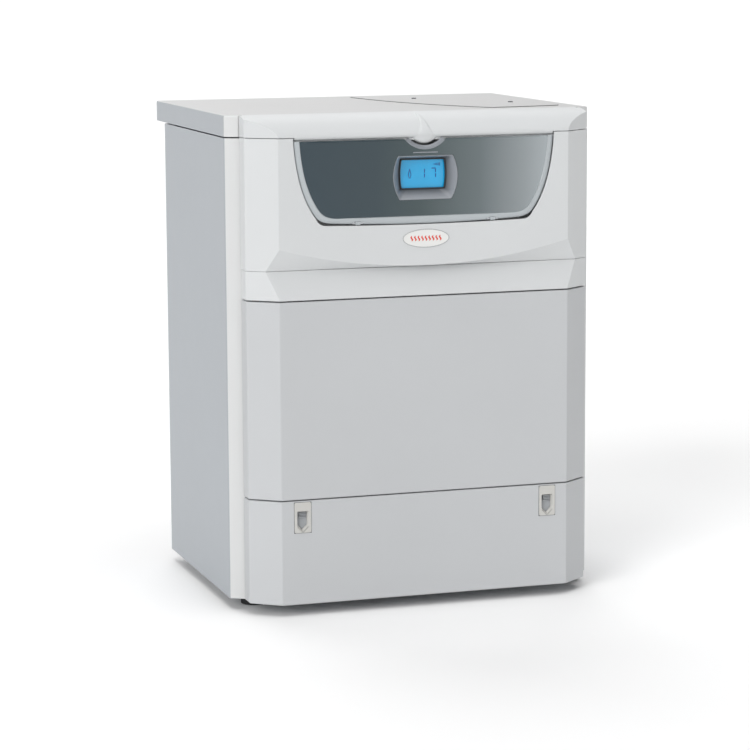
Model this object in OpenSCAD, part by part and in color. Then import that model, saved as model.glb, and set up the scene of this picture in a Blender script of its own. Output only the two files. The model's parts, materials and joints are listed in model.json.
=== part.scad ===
// Floor-standing condensing boiler casing with its gas burner assembly inside.
// Frame: +Z up, origin on the floor under the middle of the casing, front towards -Y.

/* [Casing] */
// Width over the side panels
casing_w = 600; // [580:1:620]
// Depth from the latch faces to the rear edge of the lid
casing_d = 520; // [510:1:540]
// Height of the casing above the feet
casing_h = 757; // [750:1:765]
// Height of the feet under the casing
foot_h = 18; // [14:1:24]
// Height of the lid's side band
band_h = 33; // [28:1:36]
// How far the lid reaches back past the rear panel
lid_overhang = 56; // [40:1:60]

/* [Front shells] */
// Half width of the flat front
front_half = 236; // [230:1:240]
// Half width at the outer edge of the corner facets
facet_half = 280; // [276:1:284]
// Depth of the corner facets
facet_d = 34; // [30:1:38]
// Distance from the front face back to the side panels' front corners
side_setback = 79; // [76:1:82]
// Sheet thickness of the painted panels
sheet = 1.5; // [1:0.1:2]
// Wall of the moulded plastic shells
moulded = 3; // [2.5:0.1:3.5]
// Gap between neighbouring panels
seam = 2.4; // [1.5:0.1:3]

/* [Front levels above the casing bottom] */
// Joint between the lower and the middle panel
level_low = 165; // [150:1:180]
// Joint between the middle panel and the grip rail
level_grip = 475; // [470:1:480]
// Bottom of the finger groove
level_groove = 521; // [518:1:524]
// Lower edge of the curved visor
level_visor = 725; // [724:1:727]
// Depth of the finger groove
groove_d = 14; // [10:1:16]

/* [Flap] */
// Height of the flap's top edge above the casing bottom
flap_top = 719; // [718:1:720]
// Thickness of the silver rim
rim_t = 3; // [3:0.1:3.4]
// Radius of the flap's hinge pins
pin_r = 1.2; // [1:0.1:1.3]

/* [Burner and heat exchanger] */
// Radius of the heat exchanger's casing
exchanger_r = 140; // [130:1:145]
// Length of the heat exchanger's casing
exchanger_l = 220; // [200:1:225]
// Radius of the burner tube
burner_r = 35; // [30:1:38]
// Radius of the flue and air spigots
spigot_r = 40; // [38:0.5:41]
// Outer radius of the heating water pipes
water_r = 11; // [10:0.5:12]
// Outer radius of the gas pipe
gas_r = 9; // [8:0.5:10]

/* [Hidden] */

$fn = 48;
eps = 0.01;
run_gap = 0.05;

// Casing planes
latch_proud = 1;
rear_y = casing_d / 2;
front_y = -casing_d / 2 + latch_proud;
corner_y = front_y + side_setback;
panel_rear_y = rear_y - lid_overhang;
top_z = foot_h + casing_h;
band_z = top_z - band_h;
side_x = casing_w / 2;
facet_y = front_y + facet_d;
return_y = corner_y - 17.5;
strip_w = 27;
strip_d = 15.75;
facet_angle = atan2(facet_d, facet_half - front_half);
flange = 12;

// Levels measured from the floor
low_z = foot_h + level_low;
grip_z = foot_h + level_grip;
groove_z = foot_h + level_groove;
visor_z = foot_h + level_visor;
flap_top_z = foot_h + flap_top;

// Flap: the dark panel's outline and the rim's outline, as half widths and floor levels
flap_panel_t = 3.5;
rim_y = front_y + 0.6;
flap_y = rim_y + 1.2;
hinge_y = rim_y + rim_t / 2;
hinge_z = foot_h + 591.5;
hinge_x = 110;
ear_w = 8;
ear_r = 2.6;
rim_low_z = foot_h + 588;
flap_gap = 1.2;
relief_z = foot_h + 589.3;
panel_low_z = foot_h + 600;
scoop_r = 43;
scoop_z = foot_h + 745;
nose_r = 26;
nose_z = foot_h + 737;
nose_t = 4;

// Display and its bevelled window
window_z = foot_h + 663.5;
display_w = 69;
display_h = 44;
display_y = front_y + 18;
window_wall = 1.6;

// Control panel behind the flap
tray_y = front_y + 26;
tray_half = 218;
tray_low_z = foot_h + 578;
tray_high_z = foot_h + 720;
tray_front_y = front_y + 6;
knob_r = 15;
knob_h = 12;
shaft_r = 3;
knob_z = foot_h + 655;
heating_x = 98;
hot_water_x = 148;
button_x = -80;
button_r = 6;
button_stem_r = 4;
reset_z = foot_h + 680;
info_z = foot_h + 645;
gauge_x = -138;
gauge_z = foot_h + 660;
gauge_r = 24;

// Latches
latch_x = 202.5;
latch_w = 27;
latch_h = 48;
latch_z = foot_h + 138;
latch_floor = 5;

// Feet, base and the posts that carry the exchanger
foot_x = 250;
foot_front_y = corner_y + 35;
foot_rear_y = panel_rear_y - 35;
foot_pad_r = 22;
stud_r = 5;
stud_top = 52;
base_z = foot_h + 2.5;
base_t = 3;
post_x = [-200, 175];

// Heat exchanger, burner and fan
exchanger_z = 455;
exchanger_y = -55;
exchanger_wall = 3;
door_r = 118;
door_t = 14;
mouth_r = 98;
burner_l = 150;
coil_r = 74;
coil_tube_w = 20;
coil_tube_h = 8;
coil_turns = 11;
flue_y = 110;
port_y = 130;
trap_x = 40;
trap_y = 60;
fan_x = 60;
fan_z = 265;
fan_r = 72;
fan_front_y = -150;
fan_w = 52;
motor_r = 36;
duct_half = 20;
impeller_r = 58;

// Rear connections
flue_x = -90;
air_x = 90;
spigot_z = 662;
spigot_end_y = rear_y - 8;
spigot_wall = 2;
flow_x = -235;
return_x = -165;
gas_x = -95;
drain_x = 150;
drain_y = 112;
water_z = 150;
drain_z = 80;
drain_r = 10;
stub_end_y = rear_y - 12;
collar_y = panel_rear_y - 5;

// Pump, vessel and safety valve
pump_y = -60;
pump_z = water_z;
pump_r = 42;
vessel_r = 145;
vessel_w = 84;
vessel_x = 190;
vessel_y = 25;
vessel_z = 195;
valve_y = 84;

// Plan outline of the front shells, moved inwards by t and closed at y = back
function front_points(t, back) =
    let (a = t * tan(facet_angle / 2), b = t * tan((90 - facet_angle) / 2),
         right = [[front_half - a, front_y + t], [facet_half - t, facet_y + b], [facet_half - t, back]])
    concat([for (i = [2:-1:0]) [-right[i][0], right[i][1]]], right);

// Points of a quadratic curve from a to c, drawn towards b
function curve(a, b, c, n) =
    [for (i = [0:n]) let (u = i / n) (1 - u) * (1 - u) * a + 2 * u * (1 - u) * b + u * u * c];

function mirrored(pts) = concat(pts, [for (i = [len(pts) - 1:-1:0]) [-pts[i][0], pts[i][1]]]);

// Right half of the rim's outer edge, from the top corner to the middle of the bottom
function rim_half() = concat(
    curve([211, flap_top_z], [206, foot_h + 640], [176, foot_h + 602], 10),
    curve([176, foot_h + 602], [168, foot_h + 592.5], [146, foot_h + 592], 6),
    curve([146, foot_h + 592], [73, rim_low_z], [0, rim_low_z], 5));

// Right half of the fascia's opening: clear of the rim all round, and lower near its bottom
// corners, where the rim's edge comes down as the flap swings open
function opening_half() = concat(
    [[211 + flap_gap, flap_top_z + flap_gap]],
    curve([211 + flap_gap, flap_top_z], [206 + flap_gap, foot_h + 640],
        [176 + flap_gap, foot_h + 602 - flap_gap], 10),
    curve([176 + flap_gap, foot_h + 602 - flap_gap], [172, relief_z], [160, relief_z], 6),
    curve([160, relief_z], [79, rim_low_z - flap_gap], [0, rim_low_z - flap_gap], 5));

// Right half of the dark panel's edge
function panel_half() = concat(
    curve([202, flap_top_z], [198, foot_h + 650], [172, foot_h + 613], 10),
    curve([172, foot_h + 613], [163, panel_low_z + 0.5], [144, panel_low_z], 6));

// Smile-shaped crease where the fascia turns in towards the groove
function crease_z(x) = groove_z + 2 + 32 * pow(min(abs(x), front_half) / front_half, 2);

// A flat outline in X and Z, extruded from y0 to y1
module slab(y0, y1) {
    translate([0, y1, 0]) rotate([90, 0, 0]) linear_extrude(y1 - y0) children();
}

module block(x0, x1, y0, y1, z0, z1) {
    translate([x0, y0, z0]) cube([x1 - x0, y1 - y0, z1 - z0]);
}

module rod_x(x0, x1, y, z, r) {
    translate([x0, y, z]) rotate([0, 90, 0]) cylinder(r = r, h = x1 - x0);
}

module rod_y(y0, y1, x, z, r) {
    translate([x, y1, z]) rotate([90, 0, 0]) cylinder(r = r, h = y1 - y0);
}

module rod_z(z0, z1, x, y, r) {
    translate([x, y, z0]) cylinder(r = r, h = z1 - z0);
}

// Three-faceted shell between two levels, with folded edges top and bottom
module front_shell(z0, z1, t) {
    translate([0, 0, z0]) linear_extrude(z1 - z0) difference() {
        polygon(front_points(0, return_y));
        polygon(front_points(t, return_y + 1));
    }
    for (z = [z0, z1 - t]) translate([0, 0, z]) linear_extrude(t) difference() {
        polygon(front_points(0, return_y));
        polygon(front_points(flange, return_y + 1));
    }
}

// ---- Frame and casing ----

module base_frame() {
    color([0.62, 0.64, 0.66]) difference() {
        union() {
            translate([0, 0, base_z]) linear_extrude(base_t) union() {
                translate([-side_x + 6, corner_y + 4]) square([casing_w - 12, panel_rear_y - corner_y - 8]);
                polygon(front_points(flange - 2, corner_y + 10));
            }
            for (s = [-1, 1]) translate([s * (side_x - 7.5) - 1.5, corner_y + 6, base_z])
                cube([3, panel_rear_y - corner_y - 12, 34]);
            block(-side_x + 8, side_x - 8, corner_y + 4, corner_y + 7, base_z, base_z + 34);
            block(-side_x + 8, side_x - 8, panel_rear_y - 9, panel_rear_y - 6, base_z, base_z + 34);
            for (x = [-foot_x, foot_x], y = [foot_front_y, foot_rear_y])
                rod_z(base_z, base_z + 12, x, y, 11);
        }
        for (x = [-foot_x, foot_x], y = [foot_front_y, foot_rear_y])
            rod_z(base_z - 1, base_z + 13, x, y, stud_r + run_gap);
        rod_z(base_z - 1, base_z + base_t + 1, 0, panel_rear_y - 60, 20);
    }
}

module support_frame() {
    color([0.6, 0.62, 0.64]) {
        for (x = post_x) {
            block(x - 10, x + 10, 180, 182.5, base_z + base_t, band_z - 6);
            block(x - 10, x - 7.5, 160, 180, base_z + base_t, band_z - 6);
            block(x + 7.5, x + 10, 160, 180, base_z + base_t, band_z - 6);
        }
        block(post_x[0] + 10, post_x[1] - 10, 172, 174.5, exchanger_z - 20, exchanger_z + 20);
        for (s = [-1, 1]) block(s * 85 - 10, s * 85 + 10, -40, 172, 300, 303);
        for (s = [-1, 1]) block(s * 85 - 10, s * 85 + 10, -40, 172, 303, 336);
        block(post_x[0] + 10, post_x[1] - 10, 172, 174.5, 300, 330);
    }
}

// Side panel on the right; the left one is its mirror image
module side_panel() {
    z0 = foot_h;
    z1 = band_z - 1;
    translate([0, 0, z0]) linear_extrude(z1 - z0) polygon([
        [side_x, panel_rear_y], [side_x, corner_y],
        [side_x - strip_w, corner_y - strip_d], [side_x - strip_w, corner_y - strip_d + 9],
        [side_x - strip_w + sheet, corner_y - strip_d + 9],
        [side_x - strip_w + sheet, corner_y - strip_d + 2.7],
        [side_x - sheet, corner_y + 0.9], [side_x - sheet, panel_rear_y - sheet],
        [side_x - 14, panel_rear_y - sheet], [side_x - 14, panel_rear_y]]);
    for (z = [z0, z1 - sheet])
        block(side_x - 14, side_x - sheet + eps, corner_y + 4, panel_rear_y - sheet, z, z + sheet);
}

module right_side_panel() {
    color([0.72, 0.74, 0.76]) side_panel();
}

module left_side_panel() {
    color([0.72, 0.74, 0.76]) mirror([1, 0, 0]) side_panel();
}

module rear_panel() {
    color([0.66, 0.68, 0.7]) difference() {
        union() {
            block(-side_x + 14.5, side_x - 14.5, panel_rear_y - sheet, panel_rear_y,
                foot_h + 3, band_z - 2);
            for (z = [foot_h + 10, band_z - 22])
                block(-side_x + 30, side_x - 30, panel_rear_y - 5, panel_rear_y - sheet, z, z + 12);
        }
        for (x = [flue_x, air_x]) rod_y(panel_rear_y - 10, rear_y, x, spigot_z, spigot_r + 1);
        for (x = [flow_x, return_x]) rod_y(panel_rear_y - 10, rear_y, x, water_z, water_r + 4);
        rod_y(panel_rear_y - 10, rear_y, gas_x, water_z, gas_r + 4);
        rod_y(panel_rear_y - 10, rear_y, drain_x, drain_z, drain_r + 3);
        for (i = [0:13]) block(-150 + 10 * i, -146 + 10 * i, panel_rear_y - 10, rear_y, 560, 600);
        for (i = [0:13]) block(16 + 10 * i, 20 + 10 * i, panel_rear_y - 10, rear_y, 560, 600);
    }
}

lid_front_y = corner_y - 6;

function lid_points(t) = mirrored([
    [side_x - t, rear_y - t], [side_x - t, corner_y + t * 0.3],
    [side_x - 23, corner_y - 14 + t], [side_x - 23, lid_front_y]]);

module lid() {
    color([0.86, 0.86, 0.87]) {
        difference() {
            translate([0, 0, band_z]) linear_extrude(band_h) polygon(lid_points(0));
            translate([0, 0, band_z - 1]) linear_extrude(band_h - sheet + 1) polygon(lid_points(sheet));
            for (p = plate_screws) rod_z(band_z, top_z + 1, p[0], p[1], 2);
        }
    }
}

// Curved front of the lid: a quarter-ellipse section that runs along the front
visor_d = lid_front_y - front_y;
visor_h = top_z - visor_z;

function visor_section(t) = concat(
    [[lid_front_y, visor_z - t]],
    [for (i = [0:12]) let (a = 90 * i / 12)
        [lid_front_y - (visor_d - t) * cos(a), visor_z - t + (visor_h) * sin(a)]]);

// Plan outline of the visor, which steps in where it passes between the lid's corners
lid_gap_half = side_x - 23.6;

function visor_points(t, back) = concat(
    [[-lid_gap_half + t, back], [-lid_gap_half + t, return_y]],
    front_points(t, return_y),
    [[lid_gap_half - t, return_y], [lid_gap_half - t, back]]);

module visor_body(t, back) {
    intersection() {
        translate([-side_x, 0, 0]) rotate([90, 0, 90]) linear_extrude(casing_w)
            polygon(visor_section(t));
        translate([0, 0, visor_z - 5]) linear_extrude(visor_h + 10) polygon(visor_points(t, back));
    }
}

module top_visor() {
    color([0.9, 0.9, 0.91]) {
        difference() {
            visor_body(0, lid_front_y - 0.6);
            visor_body(moulded, lid_front_y - moulded);
        }
        intersection() {
            rod_y(front_y, front_y + nose_t, 0, nose_z, nose_r);
            block(-nose_r, nose_r, front_y - 1, front_y + nose_t + 1, nose_z - nose_r - 1, visor_z + 1);
        }
        block(-24, 24, front_y + moulded - 0.5, front_y + nose_t + 4, visor_z - 0.5, visor_z + 3);
    }
}

// Closing plate on the lid, right of the middle
plate_screws = [[110, corner_y + 302], [222, corner_y + 141]];
plate_t = 1;

module service_plate() {
    color([0.87, 0.87, 0.88]) difference() {
        translate([0, 0, top_z]) linear_extrude(plate_t) polygon(concat(
            curve([28, corner_y + 395], [46, corner_y + 190], [140, corner_y + 34], 12),
            curve([146, corner_y + 26], [205, corner_y + 30], [266, corner_y + 44], 6),
            [[272, corner_y + 56], [252, corner_y + 395]]));
        for (p = plate_screws) rod_z(band_z, top_z + 5, p[0], p[1], 2.6);
    }
}

module lid_screws() {
    color([0.35, 0.36, 0.37]) for (p = plate_screws) difference() {
        union() {
            rod_z(top_z - 12, top_z + 1, p[0], p[1], 1.9);
            rod_z(top_z + plate_t, top_z + plate_t + 1.6, p[0], p[1], 4);
        }
        block(p[0] - 3, p[0] + 3, p[1] - 0.5, p[1] + 0.5, top_z + plate_t + 0.8, top_z + 5);
        block(p[0] - 0.5, p[0] + 0.5, p[1] - 3, p[1] + 3, top_z + plate_t + 0.8, top_z + 5);
    }
}

// Wedge that the finger groove takes out above the crease line of the fascia
function crease_station(x) = let (c = crease_z(x), k = (c - groove_z) / groove_d) [
    [x, front_y - 3, c + 3 * k],
    [x, front_y + groove_d, groove_z],
    [x, front_y - 3, groove_z - 1]];

crease_steps = 24;
crease_x = [for (i = [0:crease_steps]) -side_x + casing_w * i / crease_steps];

module crease_cutter() {
    last = 3 * crease_steps;
    polyhedron(
        points = [for (x = crease_x) each crease_station(x)],
        faces = concat(
            [[0, 2, 1]],
            [for (i = [0:crease_steps - 1], k = [0:2]) let (a = 3 * i + k, b = 3 * i + (k + 1) % 3)
                each [[a, b, a + 3], [b, b + 3, a + 3]]],
            [[last, last + 1, last + 2]]));
}

module fascia() {
    z0 = groove_z + 0.3;
    color([0.86, 0.87, 0.88]) difference() {
        union() {
            front_shell(z0, visor_z - 1, moulded);
            translate([0, 0, z0]) linear_extrude(42) difference() {
                polygon(front_points(0, return_y));
                polygon(front_points(groove_d + moulded, return_y + 1));
            }
        }
        crease_cutter();
        slab(front_y - 1, front_y + moulded + 1) polygon(mirrored(opening_half()));
        rod_y(front_y - 1, front_y + 5, 0, nose_z, nose_r + 0.5);
    }
}

module grip_rail() {
    color([0.88, 0.88, 0.89]) difference() {
        translate([0, 0, grip_z + seam / 2]) linear_extrude(groove_z - grip_z - seam / 2) difference() {
            polygon(front_points(0, return_y));
            polygon(front_points(groove_d + moulded, return_y + 1));
        }
        translate([-side_x, 0, 0]) rotate([90, 0, 90]) linear_extrude(casing_w) polygon([
            [front_y - 2, grip_z + 3], [front_y, grip_z + 3],
            [front_y + groove_d, groove_z], [front_y + groove_d, groove_z + 1],
            [front_y - 2, groove_z + 1]]);
    }
}

module mid_panel() {
    color([0.78, 0.78, 0.79])
        front_shell(low_z + seam / 2, grip_z - seam / 2, sheet);
}

module lower_panel() {
    color([0.76, 0.765, 0.77]) difference() {
        front_shell(foot_h, low_z - seam / 2, sheet);
        for (s = [-1, 1]) block(s * latch_x - latch_w / 2 + 2, s * latch_x + latch_w / 2 - 2,
            front_y - 1, front_y + sheet + 1, latch_z - latch_h / 2 + 2, latch_z + latch_h / 2 - 2);
    }
}

// Outline of the latch opening: a slot that ends in a point at the bottom
module latch_slot() {
    polygon([[-9, 14], [-9, -12], [0, -21], [9, -12], [9, 14]]);
}

module latch_frames() {
    color([0.84, 0.84, 0.84]) for (s = [-1, 1]) translate([s * latch_x, 0, latch_z]) difference() {
        union() {
            block(-latch_w / 2, latch_w / 2, front_y - latch_proud, front_y, -latch_h / 2, latch_h / 2);
            block(-latch_w / 2 + 2, latch_w / 2 - 2, front_y - eps, front_y + latch_floor,
                -latch_h / 2 + 2, latch_h / 2 - 2);
        }
        slab(front_y - 3, front_y + latch_floor + 1) latch_slot();
    }
    color([0.84, 0.84, 0.84]) for (s = [-1, 1], k = [-1, 1])
        translate([s * latch_x + k * 12, 0, latch_z]) {
            block(-1.2, 1.2, front_y + latch_floor - 1, front_y + latch_floor + 5, -21, 21);
            block(-1.2 - max(k, 0) * 2, 1.2 + max(-k, 0) * 2, front_y + latch_floor + 3.6,
                front_y + latch_floor + 5, -21, 21);
        }
}

module latch_slider() {
    color([0.88, 0.88, 0.87]) union() {
        block(-10.4, 10.4, front_y + latch_floor + 0.3, front_y + latch_floor + 3.3, -23, 22.5);
        for (i = [0:3]) block(-6, 6, front_y + latch_floor - 2.2, front_y + latch_floor + 1,
            3.5 + 2.4 * i, 4.9 + 2.4 * i);
        block(-6, 6, front_y + latch_floor + 3, front_y + latch_floor + 14, 16, 20);
    }
}

module latch_left() {
    translate([-latch_x, 0, latch_z]) latch_slider();
}

module latch_right() {
    translate([latch_x, 0, latch_z]) latch_slider();
}

// ---- Flap ----

// Half outline of the display window; d moves it outwards
function window_half(d) = concat(
    [[0, window_z + 28 + d]],
    [[44 + d, window_z + 28 + d]],
    curve([46 + d, window_z + 26], [60 + d, window_z - 4], [45 + d, window_z - 36], 8),
    [[42 + d, window_z - 39.5 - d], [0, window_z - 39.5 - d]]);

function glass_half(d) = concat(
    [[0, window_z + display_h / 2 + d]],
    curve([display_w / 2 - 1 + d, window_z + display_h / 2 + d], [display_w / 2 + 3 + d, window_z],
        [display_w / 2 - 1 + d, window_z - display_h / 2 - d], 6),
    [[0, window_z - display_h / 2 - d]]);

module scoop_cut() {
    rod_y(front_y - 5, front_y + 12, 0, scoop_z, scoop_r);
}

module flap() {
    color([0.33, 0.38, 0.42]) difference() {
        slab(flap_y, flap_y + flap_panel_t) polygon(mirrored(concat([[202, flap_top_z]], panel_half())));
        slab(flap_y - 1, flap_y + flap_panel_t + 1) polygon(mirrored(window_half(window_wall)));
        scoop_cut();
    }
}

module flap_rim() {
    color([0.78, 0.8, 0.82]) difference() {
        slab(rim_y, rim_y + rim_t) polygon(mirrored(rim_half()));
        slab(rim_y - 1, rim_y + rim_t + 1) polygon(mirrored(concat([[202, flap_top_z + 5]], panel_half())));
        for (s = [-1, 1]) {
            rod_x(s * hinge_x - ear_w / 2 - 0.5, s * hinge_x + ear_w / 2 + 0.5, hinge_y, hinge_z, ear_r + 0.4);
            rod_x(s * hinge_x - 10, s * hinge_x + 10, hinge_y, hinge_z, pin_r);
        }
    }
}

module flap_hinge_pins() {
    color([0.7, 0.7, 0.72]) for (s = [-1, 1])
        rod_x(s * hinge_x - 9, s * hinge_x + 9, hinge_y, hinge_z, pin_r);
}

// Deep bevelled surround that narrows from the flap's face to the display
module flap_bezel() {
    back = display_y - 1;
    color([0.6, 0.62, 0.65]) difference() {
        hull() {
            slab(flap_y, flap_y + 0.5) polygon(mirrored(window_half(window_wall)));
            slab(back - 0.5, back) polygon(mirrored(glass_half(window_wall)));
        }
        hull() {
            slab(flap_y - 0.5, flap_y) polygon(mirrored(window_half(0)));
            slab(back, back + 0.5) polygon(mirrored(glass_half(0)));
        }
    }
}

module badge() {
    color([0.93, 0.93, 0.93]) translate([0, front_y, foot_h + 565]) rotate([90, 0, 0])
        linear_extrude(0.9) scale([1, 14.5 / 38]) circle(38);
}

// ---- Control panel behind the flap ----

module control_panel() {
    color([0.83, 0.84, 0.85]) difference() {
        union() {
            difference() {
                block(-tray_half, tray_half, tray_front_y, tray_y + 3, tray_low_z, tray_high_z);
                block(-tray_half + 3, tray_half - 3, front_y, tray_y, tray_low_z + 3, tray_high_z - 3);
            }
            for (s = [-1, 1]) {
                block(s * hinge_x - ear_w / 2, s * hinge_x + ear_w / 2, hinge_y, tray_y + 1,
                    hinge_z - 2.2, hinge_z + 2.2);
                rod_x(s * hinge_x - ear_w / 2, s * hinge_x + ear_w / 2, hinge_y, hinge_z, ear_r);
            }
        }
        for (s = [-1, 1])
            rod_x(s * hinge_x - ear_w, s * hinge_x + ear_w, hinge_y, hinge_z, pin_r + run_gap);
        for (x = [heating_x, hot_water_x])
            rod_y(tray_y - 1, tray_y + 5, x, knob_z, shaft_r + run_gap);
        for (z = [reset_z, info_z])
            rod_y(tray_y - 1, tray_y + 5, button_x, z, button_stem_r + run_gap);
        rod_y(tray_y - 1, tray_y + 5, gauge_x, gauge_z, gauge_r - 4);
        block(-33, 33, tray_y - 1, tray_y + 5, window_z - 20, window_z + 20);
    }
}

module display_frame() {
    color([0.2, 0.22, 0.24]) difference() {
        block(-43, 43, display_y, tray_y, window_z - 29, window_z + 29);
        block(-39, 39, display_y - 1, display_y + 3, window_z - 25, window_z + 25);
        block(-33, 33, display_y, tray_y + 1, window_z - 20, window_z + 20);
    }
}

module display_glass() {
    color([0.24, 0.69, 0.88])
        block(-38.8, 38.8, display_y + 0.4, display_y + 3, window_z - 24.8, window_z + 24.8);
}

module knob() {
    difference() {
        union() {
            rod_y(tray_y - 0.5 - knob_h, tray_y - 0.5, 0, 0, knob_r);
            rod_y(tray_y - 1, tray_y + 9, 0, 0, shaft_r);
        }
        for (i = [0:11]) rotate([0, 30 * i, 0])
            rod_y(tray_y - 20, tray_y - 4, knob_r + 1, 0, 2);
        block(-0.8, 0.8, tray_y - 20, tray_y - knob_h + 0.6, 4, knob_r - 2);
    }
}

module heating_knob() {
    color([0.3, 0.32, 0.34]) translate([heating_x, 0, knob_z]) knob();
}

module hot_water_knob() {
    color([0.3, 0.32, 0.34]) translate([hot_water_x, 0, knob_z]) knob();
}

button_lift = 3.4;

module button() {
    rod_y(tray_y - button_lift - 3, tray_y - button_lift, 0, 0, button_r);
    rod_y(tray_y - button_lift - 1, tray_y + 6, 0, 0, button_stem_r);
}

module reset_button() {
    color([0.75, 0.25, 0.2]) translate([button_x, 0, reset_z]) button();
}

module info_button() {
    color([0.35, 0.37, 0.4]) translate([button_x, 0, info_z]) button();
}

module pressure_gauge() {
    color([0.25, 0.26, 0.28]) translate([gauge_x, 0, gauge_z]) difference() {
        union() {
            rod_y(tray_y - 9, tray_y, 0, 0, gauge_r);
            rod_y(tray_y - 1, tray_y + 16, 0, 0, gauge_r - 4.2);
        }
        rod_y(tray_y - 10, tray_y - 1.5, 0, 0, gauge_r - 2.5);
        rod_y(tray_y - 3, tray_y + 8, 0, 0, 1 + run_gap);
    }
}

module gauge_needle() {
    color([0.8, 0.15, 0.1]) translate([gauge_x, 0, gauge_z]) {
        rod_y(tray_y - 5, tray_y + 7, 0, 0, 1);
        rod_y(tray_y - 5.5, tray_y - 4.3, 0, 0, 3);
        block(-0.7, 0.7, tray_y - 5.2, tray_y - 4.4, -6, 16);
    }
}

module gauge_glass() {
    color([0.9, 0.95, 0.97, 0.4]) rod_y(tray_y - 8.5, tray_y - 7, gauge_x, gauge_z, gauge_r - 2.5);
}

module control_box() {
    y0 = tray_y + 3;
    color([0.3, 0.31, 0.33]) difference() {
        block(-200, 200, y0, y0 + 60, tray_low_z + 8, tray_high_z - 8);
        block(-197, 197, y0 - 1, y0 + 57, tray_low_z + 11, tray_high_z - 11);
        for (x = [-160, -60, 60]) rod_z(tray_low_z, tray_low_z + 12, x, y0 + 30, 7);
    }
}

module circuit_board() {
    y0 = tray_y + 30;
    color([0.15, 0.4, 0.25]) union() {
        block(-180, 180, y0, y0 + 1.6, tray_low_z + 20, tray_high_z - 20);
        block(-150, -110, y0 - 16, y0, 610, 648);
        block(-40, 0, y0 - 12, y0, 640, 700);
        for (i = [0:4]) block(40 + 24 * i, 58 + 24 * i, y0 - 11, y0, 610, 626);
        for (i = [0:2]) rod_y(y0 - 18, y0, 70 + 30 * i, 680, 9);
    }
}

// ---- Feet ----

module foot(x, y) {
    color([0.2, 0.2, 0.21]) {
        rod_z(0, 6, x, y, foot_pad_r);
        translate([x, y, 6]) cylinder(r1 = foot_pad_r, r2 = 10, h = 6);
        rod_z(6, stud_top, x, y, stud_r);
    }
}

module foot_front_left() foot(-foot_x, foot_front_y);
module foot_front_right() foot(foot_x, foot_front_y);
module foot_rear_left() foot(-foot_x, foot_rear_y);
module foot_rear_right() foot(foot_x, foot_rear_y);

module foot_locknuts() {
    color([0.7, 0.7, 0.72]) for (x = [-foot_x, foot_x], y = [foot_front_y, foot_rear_y]) difference() {
        translate([x, y, base_z + 12]) cylinder(r = 9.8, h = 6, $fn = 6);
        rod_z(base_z + 11, base_z + 20, x, y, stud_r + run_gap);
    }
}

// ---- Heat exchanger and burner ----

flue_collar_z = exchanger_z + 150;

module heat_exchanger() {
    y0 = exchanger_y;
    y1 = exchanger_y + exchanger_l;
    color([0.75, 0.76, 0.78]) difference() {
        union() {
            rod_y(y0, y1, 0, exchanger_z, exchanger_r);
            rod_z(exchanger_z + 60, flue_collar_z, flue_x, flue_y, spigot_r + 4);
            rod_z(exchanger_z - exchanger_r - 26, exchanger_z - 100, trap_x, trap_y, 12);
            for (s = [-1, 1]) rod_x(s * 145 - 18, s * 145 + 18, port_y, exchanger_z, water_r + 5);
        }
        rod_y(y0 + exchanger_wall, y1 - exchanger_wall, 0, exchanger_z, exchanger_r - exchanger_wall);
        rod_y(y0 - 1, y0 + 10, 0, exchanger_z, mouth_r);
        rod_z(exchanger_z + 50, flue_collar_z + 1, flue_x, flue_y, spigot_r + 0.3);
        rod_z(exchanger_z - 200, exchanger_z - 90, trap_x, trap_y, 9);
        for (s = [-1, 1]) rod_x(s * 150 - 30, s * 150 + 30, port_y, exchanger_z, water_r + 0.1);
    }
}

module exchanger_coil() {
    pitch = coil_tube_h + 4;
    y0 = exchanger_y + 22;
    color([0.78, 0.78, 0.8]) union() {
        for (i = [0:coil_turns - 1]) translate([0, y0 + pitch * i + coil_tube_h / 2, exchanger_z])
            rotate([90, 0, 0]) rotate_extrude() translate([coil_r, 0])
                square([coil_tube_w, coil_tube_h], center = true);
        for (s = [-1, 1]) rod_y(y0 - 2, y0 + pitch * coil_turns, s * coil_r, exchanger_z, 7);
    }
}

module burner_door() {
    color([0.7, 0.71, 0.73]) difference() {
        union() {
            rod_y(exchanger_y - door_t, exchanger_y - 0.2, 0, exchanger_z, door_r);
            rod_y(exchanger_y - door_t - 12, exchanger_y - door_t + 1, 0, exchanger_z, 30);
            for (i = [0:5]) rotate_about_burner(60 * i + 30)
                rod_y(exchanger_y - door_t - 8, exchanger_y - door_t + 1, 0, door_r - 10, 6);
        }
        rod_y(exchanger_y - 60, exchanger_y + 5, 0, exchanger_z, 26);
        rod_y(exchanger_y - 60, exchanger_y + 5, 55, exchanger_z + 20, 4.05);
        rod_y(exchanger_y - 60, exchanger_y + 5, -55, exchanger_z + 20, 4.05);
    }
}

module rotate_about_burner(a) {
    translate([0, 0, exchanger_z]) rotate([0, a, 0]) children();
}

module burner_tube() {
    y0 = exchanger_y + 14;
    color([0.72, 0.72, 0.74]) difference() {
        union() {
            rod_y(y0, y0 + burner_l, 0, exchanger_z, burner_r);
            rod_y(exchanger_y, exchanger_y + 2, 0, exchanger_z, burner_r + 10);
            rod_y(exchanger_y, y0 + 1, 0, exchanger_z, burner_r - 2);
        }
        rod_y(exchanger_y - 1, y0 + burner_l - 1.5, 0, exchanger_z, burner_r - 4);
        for (i = [0:7]) rotate_about_burner(45 * i)
            block(-1.5, 1.5, y0 + 15, y0 + burner_l - 20, burner_r - 8, burner_r + 5);
    }
}

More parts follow.
